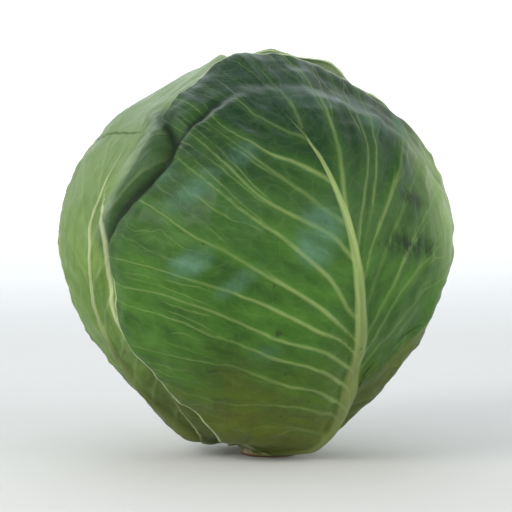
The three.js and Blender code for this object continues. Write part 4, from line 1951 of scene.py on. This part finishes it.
DEEP_GREEN = Waxes(
    deep=(0.018, 0.062, 0.008), light=(0.056, 0.15, 0.016), crown=(0.003, 0.02, 0.008),
    low=(0.092, 0.108, 0.012), rib=(0.31, 0.4, 0.14), rib_foot=(0.2, 0.24, 0.08), margin=(0.46, 0.54, 0.33),
    mist=(0.09, 0.185, 0.13), network=0.22, vein=0.52, spots=0.8,
)
# Its low colour is a darker olive: painted shade near the floor.
PALE_GREEN = Waxes(
    deep=(0.075, 0.15, 0.025), light=(0.16, 0.26, 0.055), crown=(0.15, 0.22, 0.1), low=(0.052, 0.07, 0.01),
    rib=(0.45, 0.5, 0.27), rib_foot=(0.13, 0.15, 0.045), margin=(0.3, 0.35, 0.17), mist=(0.26, 0.33, 0.23),
    bloom=0.6, network=0.15, vein=0.1, spots=0.35, streak=0.7,
)
MID_GREEN = Waxes(
    deep=(0.055, 0.13, 0.022), light=(0.13, 0.235, 0.04), crown=(0.06, 0.12, 0.04), low=(0.09, 0.12, 0.03),
    rib=(0.3, 0.39, 0.15), margin=(0.44, 0.54, 0.33), mist=(0.18, 0.29, 0.18), bloom=0.55, vein=0.55,
)
OLIVE_GREEN = Waxes(
    deep=(0.042, 0.074, 0.011), light=(0.095, 0.14, 0.022), crown=(0.05, 0.09, 0.03),
    low=(0.055, 0.07, 0.01), rib=(0.2, 0.26, 0.09), margin=(0.34, 0.38, 0.19), mist=(0.12, 0.16, 0.07),
    bloom=0.25, vein=0.35,
)
CROWN_GREEN = Waxes(
    deep=(0.1, 0.19, 0.04), light=(0.2, 0.31, 0.08), crown=(0.16, 0.26, 0.08), low=(0.16, 0.2, 0.06),
    rib=(0.42, 0.49, 0.22), margin=(0.44, 0.46, 0.23), mist=(0.27, 0.37, 0.25), vein=0.5, spots=0.3,
)
FRONT_VEINS_LEFT = (
    Vein(((0, -102), (-14, -90), (-30, -85), (-50, -82), (-68, -82)), 0.3),
    Vein(((0, -90), (-12, -77), (-25, -70), (-45, -66), (-62, -63), (-84, -56)), 0.5),
    Vein(
        (
            (0, -80), (-10, -69), (-18, -60), (-25, -56), (-33, -55),
            (-41, -51), (-50, -44), (-68, -33), (-94, -26),
        ),
        0.75,
    ),
    Vein(
        (
            (0, -68), (-9, -57), (-15, -49), (-22, -43), (-31, -40),
            (-40, -35), (-56, -23), (-77, -8), (-102, 3),
        ),
        0.9,
    ),
    Vein(
        (
            (-1, -54), (-11, -42), (-17, -35), (-23, -31), (-32, -28),
            (-49, -16), (-64, -4), (-84, 7), (-110, 16),
        ),
        0.9,
    ),
    Vein(
        (
            (-1, -43), (-9, -32), (-15, -26), (-22, -22), (-33, -13),
            (-48, -1), (-64, 9), (-87, 22), (-106, 30),
        ),
        0.95,
    ),
    Vein(
        ((-1, -37), (-8, -27), (-13, -20), (-19, -12), (-34, 3), (-51, 20), (-64, 33), (-76, 48), (-84, 58)),
        1.0,
    ),
    Vein(
        ((-1, -24), (-7, -16), (-12, -3), (-17, 5), (-27, 20), (-33, 27), (-42, 40), (-50, 54), (-60, 74)),
        0.95,
    ),
    Vein(
        ((-1, 3), (-6, 12), (-10, 18), (-17, 24), (-24, 31), (-32, 41), (-38, 55), (-45, 74), (-54, 98)),
        0.85,
    ),
    Vein(((-1, 18), (-6, 24), (-12, 33), (-20, 46), (-27, 58), (-33, 71), (-39, 88), (-46, 110)), 0.45),
    Vein(
        ((-1, 36), (-6, 42), (-11, 49), (-19, 56), (-24, 63), (-29, 70), (-33, 80), (-36, 93), (-42, 116)),
        0.9,
    ),
    Vein(((-1, 58), (-7, 68), (-13, 80), (-18, 95), (-24, 122)), 0.4),
)
FRONT_VEINS_RIGHT = (
    Vein(((1, -66), (10, -50), (20, -38), (34, -28), (50, -24), (74, -20)), 0.4),
    Vein(((1, -50), (8, -38), (16, -26), (26, -17), (38, -11), (58, -5), (82, 2)), 0.6),
    Vein(((1, -40), (5, -30), (12, -21), (19, -13), (26, -3), (38, 6), (56, 15), (84, 27)), 0.6),
    Vein(((1, -24), (7, -10), (15, 2), (26, 13), (40, 23), (58, 32), (80, 42)), 0.3),
    Vein(((1, -7), (5, 2), (11, 11), (21, 20), (28, 26), (37, 33), (46, 40), (62, 48), (76, 57)), 0.62),
    Vein(((1, -2), (5, 6), (9, 14), (15, 24), (27, 40), (37, 54), (54, 68), (66, 82)), 0.62),
    Vein(((1, 6), (4, 12), (8, 21), (15, 31), (24, 43), (33, 58), (44, 76), (56, 96)), 0.5),
    Vein(((1, 24), (4, 34), (9, 46), (14, 57), (22, 73), (28, 85), (35, 100), (38, 116)), 0.8),
    Vein(((1, 64), (7, 80), (11, 96), (13, 112), (14, 126)), 0.4),
)
FRONT_PATCHES = (
    Patch(Tint.BLOOM, (-67, 19), (11, 6), 15, 1.0),
    Patch(Tint.BLOOM, (-50, 6), (13, 4), 25, 0.5),
    Patch(Tint.BLOOM, (-13, 17), (13, 9), 60, 1.0),
    Patch(Tint.BLOOM, (-70, 68), (14, 9), -50, 0.8),
    Patch(Tint.BLOOM, (-57, 50), (15, 6), 20, 0.8),
    Patch(Tint.BLOOM, (-30, 60), (8, 6), 20, 0.5),
    Patch(Tint.BLOOM, (30, 80), (30, 12), -20, 0.3),
    Patch(Tint.BLOOM, (46, 56), (10, 9), 0, 0.7),
    Patch(Tint.BLOOM, (66, 52), (14, 4), 35, 1.0),
    Patch(Tint.BLOOM, (-45, -32), (9, 5), 20, 0.35),
    Patch(Tint.DARK, (-37, 61), (9, 5), -35, 0.7),
    Patch(Tint.DARK, (16, 85), (7, 4), 0, 0.9),
    Patch(Tint.DARK, (-38, -21), (2.4, 1.8), 0, 1.0),
    Patch(Tint.DARK, (-36, -46), (2.0, 1.6), 0, 1.0),
    Patch(Tint.DARK, (-69, -39), (4.5, 1.8), 10, 0.7),
    Patch(Tint.DARK, (-60, -22), (14, 3), 15, 0.4),
    Patch(Tint.DARK, (37, 20), (11, 4.0), -35, 1.1),
    Patch(Tint.DARK, (32, -1), (19, 5.5), -20, 1.1),
    Patch(Tint.DARK, (30, 8), (15, 8), 0, 0.4),
    # Pale streaked zone at the right edge: paler leaf with painted side light.
    Patch(Tint.PALE_AND_LIT, (74, 4), (28, 46), 8, 0.9),
    # Dark olive lower right margin with painted shade along it.
    Band(Tint.DARK, ((6, -90), (10, -68), (20, -54), (36, -46), (52, -40), (64, -34)), 6.0, 0.26),
    # Deeper green with painted shade between the crease's arms.
    Patch(Tint.DEEP_SHADE, (-50, 92), (14, 9), 40, 0.7),
)
LEFT_PATCHES = (
    # Deeper green of the tongue with painted shade toward the groove.
    Band(Tint.DEEP_SHADE, ((10, 73), (15, 66), (19, 57), (22, 48), (21, 38), (18, 28), (14, 14)), 10.5, 0.95),
    Band(Tint.BLOOM, ((2, 88), (6, 72), (11, 58), (11, 44), (9, 30), (8, 14)), 3.6, 0.7),
    Patch(Tint.BLOOM, (-30, 80), (44, 20), 0, 0.45),
    # Painted shade beside the midrib ridge.
    Band(Tint.DARK, ((12, 14), (6, -10), (7, -40), (4, -66)), 3.6, 0.22),
    # Painted shade over the lower part, near the floor.
    Patch(Tint.DARK, (-30, -76), (40, 14), 0, 0.5),
    Patch(Tint.DARK, (-22, 14), (3, 14), 0, 0.3),
)


def wrapper_leaves() -> list[Leaf]:
    """The seven wrapper leaves, the inmost first."""
    return [
        Leaf(
            "crown_leaf", 148, 13,
            (
                (-20, -124), (-44, -104), (-70, -72), (-84, -30), (-84, 20), (-74, 66), (-52, 108),
                (-20, 130), (0, 137),
            ),
            (
                (20, -124), (44, -104), (68, -72), (80, -30), (80, 20), (72, 66), (54, 108), (22, 130),
                (0, 137),
            ),
            CROWN_GREEN, curl=1.4, rows=80, columns=40, seed=11,
        ),
        Leaf(
            "rear_left_leaf", -124, 10,
            (
                (-20, -124), (-46, -108), (-74, -76), (-88, -32), (-90, 14), (-80, 58), (-54, 94),
                (-20, 110), (0, 113),
            ),
            (
                (20, -124), (44, -106), (68, -76), (80, -34), (82, 10), (74, 54), (52, 90), (20, 109),
                (0, 113),
            ),
            MID_GREEN, seed=23,
        ),
        Leaf(
            "right_leaf", 67, 4,
            (
                (-20, -124), (-40, -106), (-58, -76), (-66, -34), (-66, 10), (-62, 52), (-44, 86),
                (-18, 104), (0, 107),
            ),
            (
                (20, -124), (48, -106), (80, -76), (100, -34), (102, 12), (90, 58), (60, 92), (22, 106),
                (0, 107),
            ),
            MID_GREEN, curl=1.6, seed=31,
        ),
        Leaf(
            "left_leaf", -55, -3,
            (
                (-22, -124), (-48, -108), (-74, -76), (-90, -34), (-96, 12), (-88, 58), (-62, 100),
                (-24, 122), (0, 125),
            ),
            (
                (20, -124), (40, -106), (56, -72), (62, -30), (64, 14), (62, 58), (46, 98), (18, 121),
                (0, 125),
            ),
            PALE_GREEN, seed=47, rows=150, columns=60, patches=LEFT_PATCHES, rib_scale=0.55,
            sway=(
                (-170, 0), (-124, 0), (-60, -7), (-40, -3.5), (-14, -5), (5, -3), (17, -3.5), (30, -1),
                (56, 1), (68, 1),
                (80, -8), (110, -8), (170, -6),
            ),
        ),
        Leaf(
            "back_leaf", 178, 14,
            (
                (-22, -124), (-50, -110), (-82, -82), (-100, -40), (-101, 10), (-90, 58), (-62, 98),
                (-24, 121), (0, 124),
            ),
            (
                (22, -124), (46, -108), (74, -80), (94, -38), (98, 12), (88, 60), (60, 98), (22, 120),
                (0, 124),
            ),
            MID_GREEN, curl=3.6, seed=53, rows=130, columns=52,
        ),
        Leaf(
            "under_leaf", 16, 12,
            (
                (-20, -124), (-46, -112), (-72, -92), (-85, -66), (-88, -30), (-77, 18), (-52, 58),
                (-20, 84), (0, 88),
            ),
            ((20, -124), (46, -108), (68, -84), (80, -50), (80, -8), (68, 30), (48, 62), (20, 84), (0, 88)),
            OLIVE_GREEN, seed=61,
        ),
        Leaf(
            "front_leaf", 27, 15,
            (
                (-22, -123), (-48, -106), (-74, -85), (-89, -66), (-102, -47), (-111, -25), (-113, 0),
                (-109, 25),
                (-101, 46), (-80, 60), (-64, 74), (-58, 90), (-55, 107), (-36, 122), (-6, 132),
            ),
            (
                (14, -123), (10, -102), (7, -80), (8, -62), (18, -51), (36, -48), (62, -38), (80, -14),
                (84, 20),
                (80, 58), (64, 94), (34, 124), (-6, 132),
            ),
            DEEP_GREEN, curl=1.0, seed=71, rows=210, columns=112, tucked=(24, 118), patches=FRONT_PATCHES,
            drawn_left=FRONT_VEINS_LEFT, drawn_right=FRONT_VEINS_RIGHT,
        ),
    ]


def main() -> None:
    """Builds the stem, the heart and the leaves, then sets the studio round them."""
    logging.basicConfig(level=logging.INFO, format="%(name)s: %(message)s")
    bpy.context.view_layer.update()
    form = Form()
    head = Head(form, wrapper_leaves())
    hand_over(Stem().build(), "stem")
    hand_over(Heart(form).build(), "heart")
    for level, leaf in enumerate(head.leaves):
        hand_over(head.build(leaf, level), leaf.name)
    studio = Studio()
    studio.floor()
    studio.lights()
    studio.camera()
    bpy.context.view_layer.update()


if __name__ == "__main__":
    main()
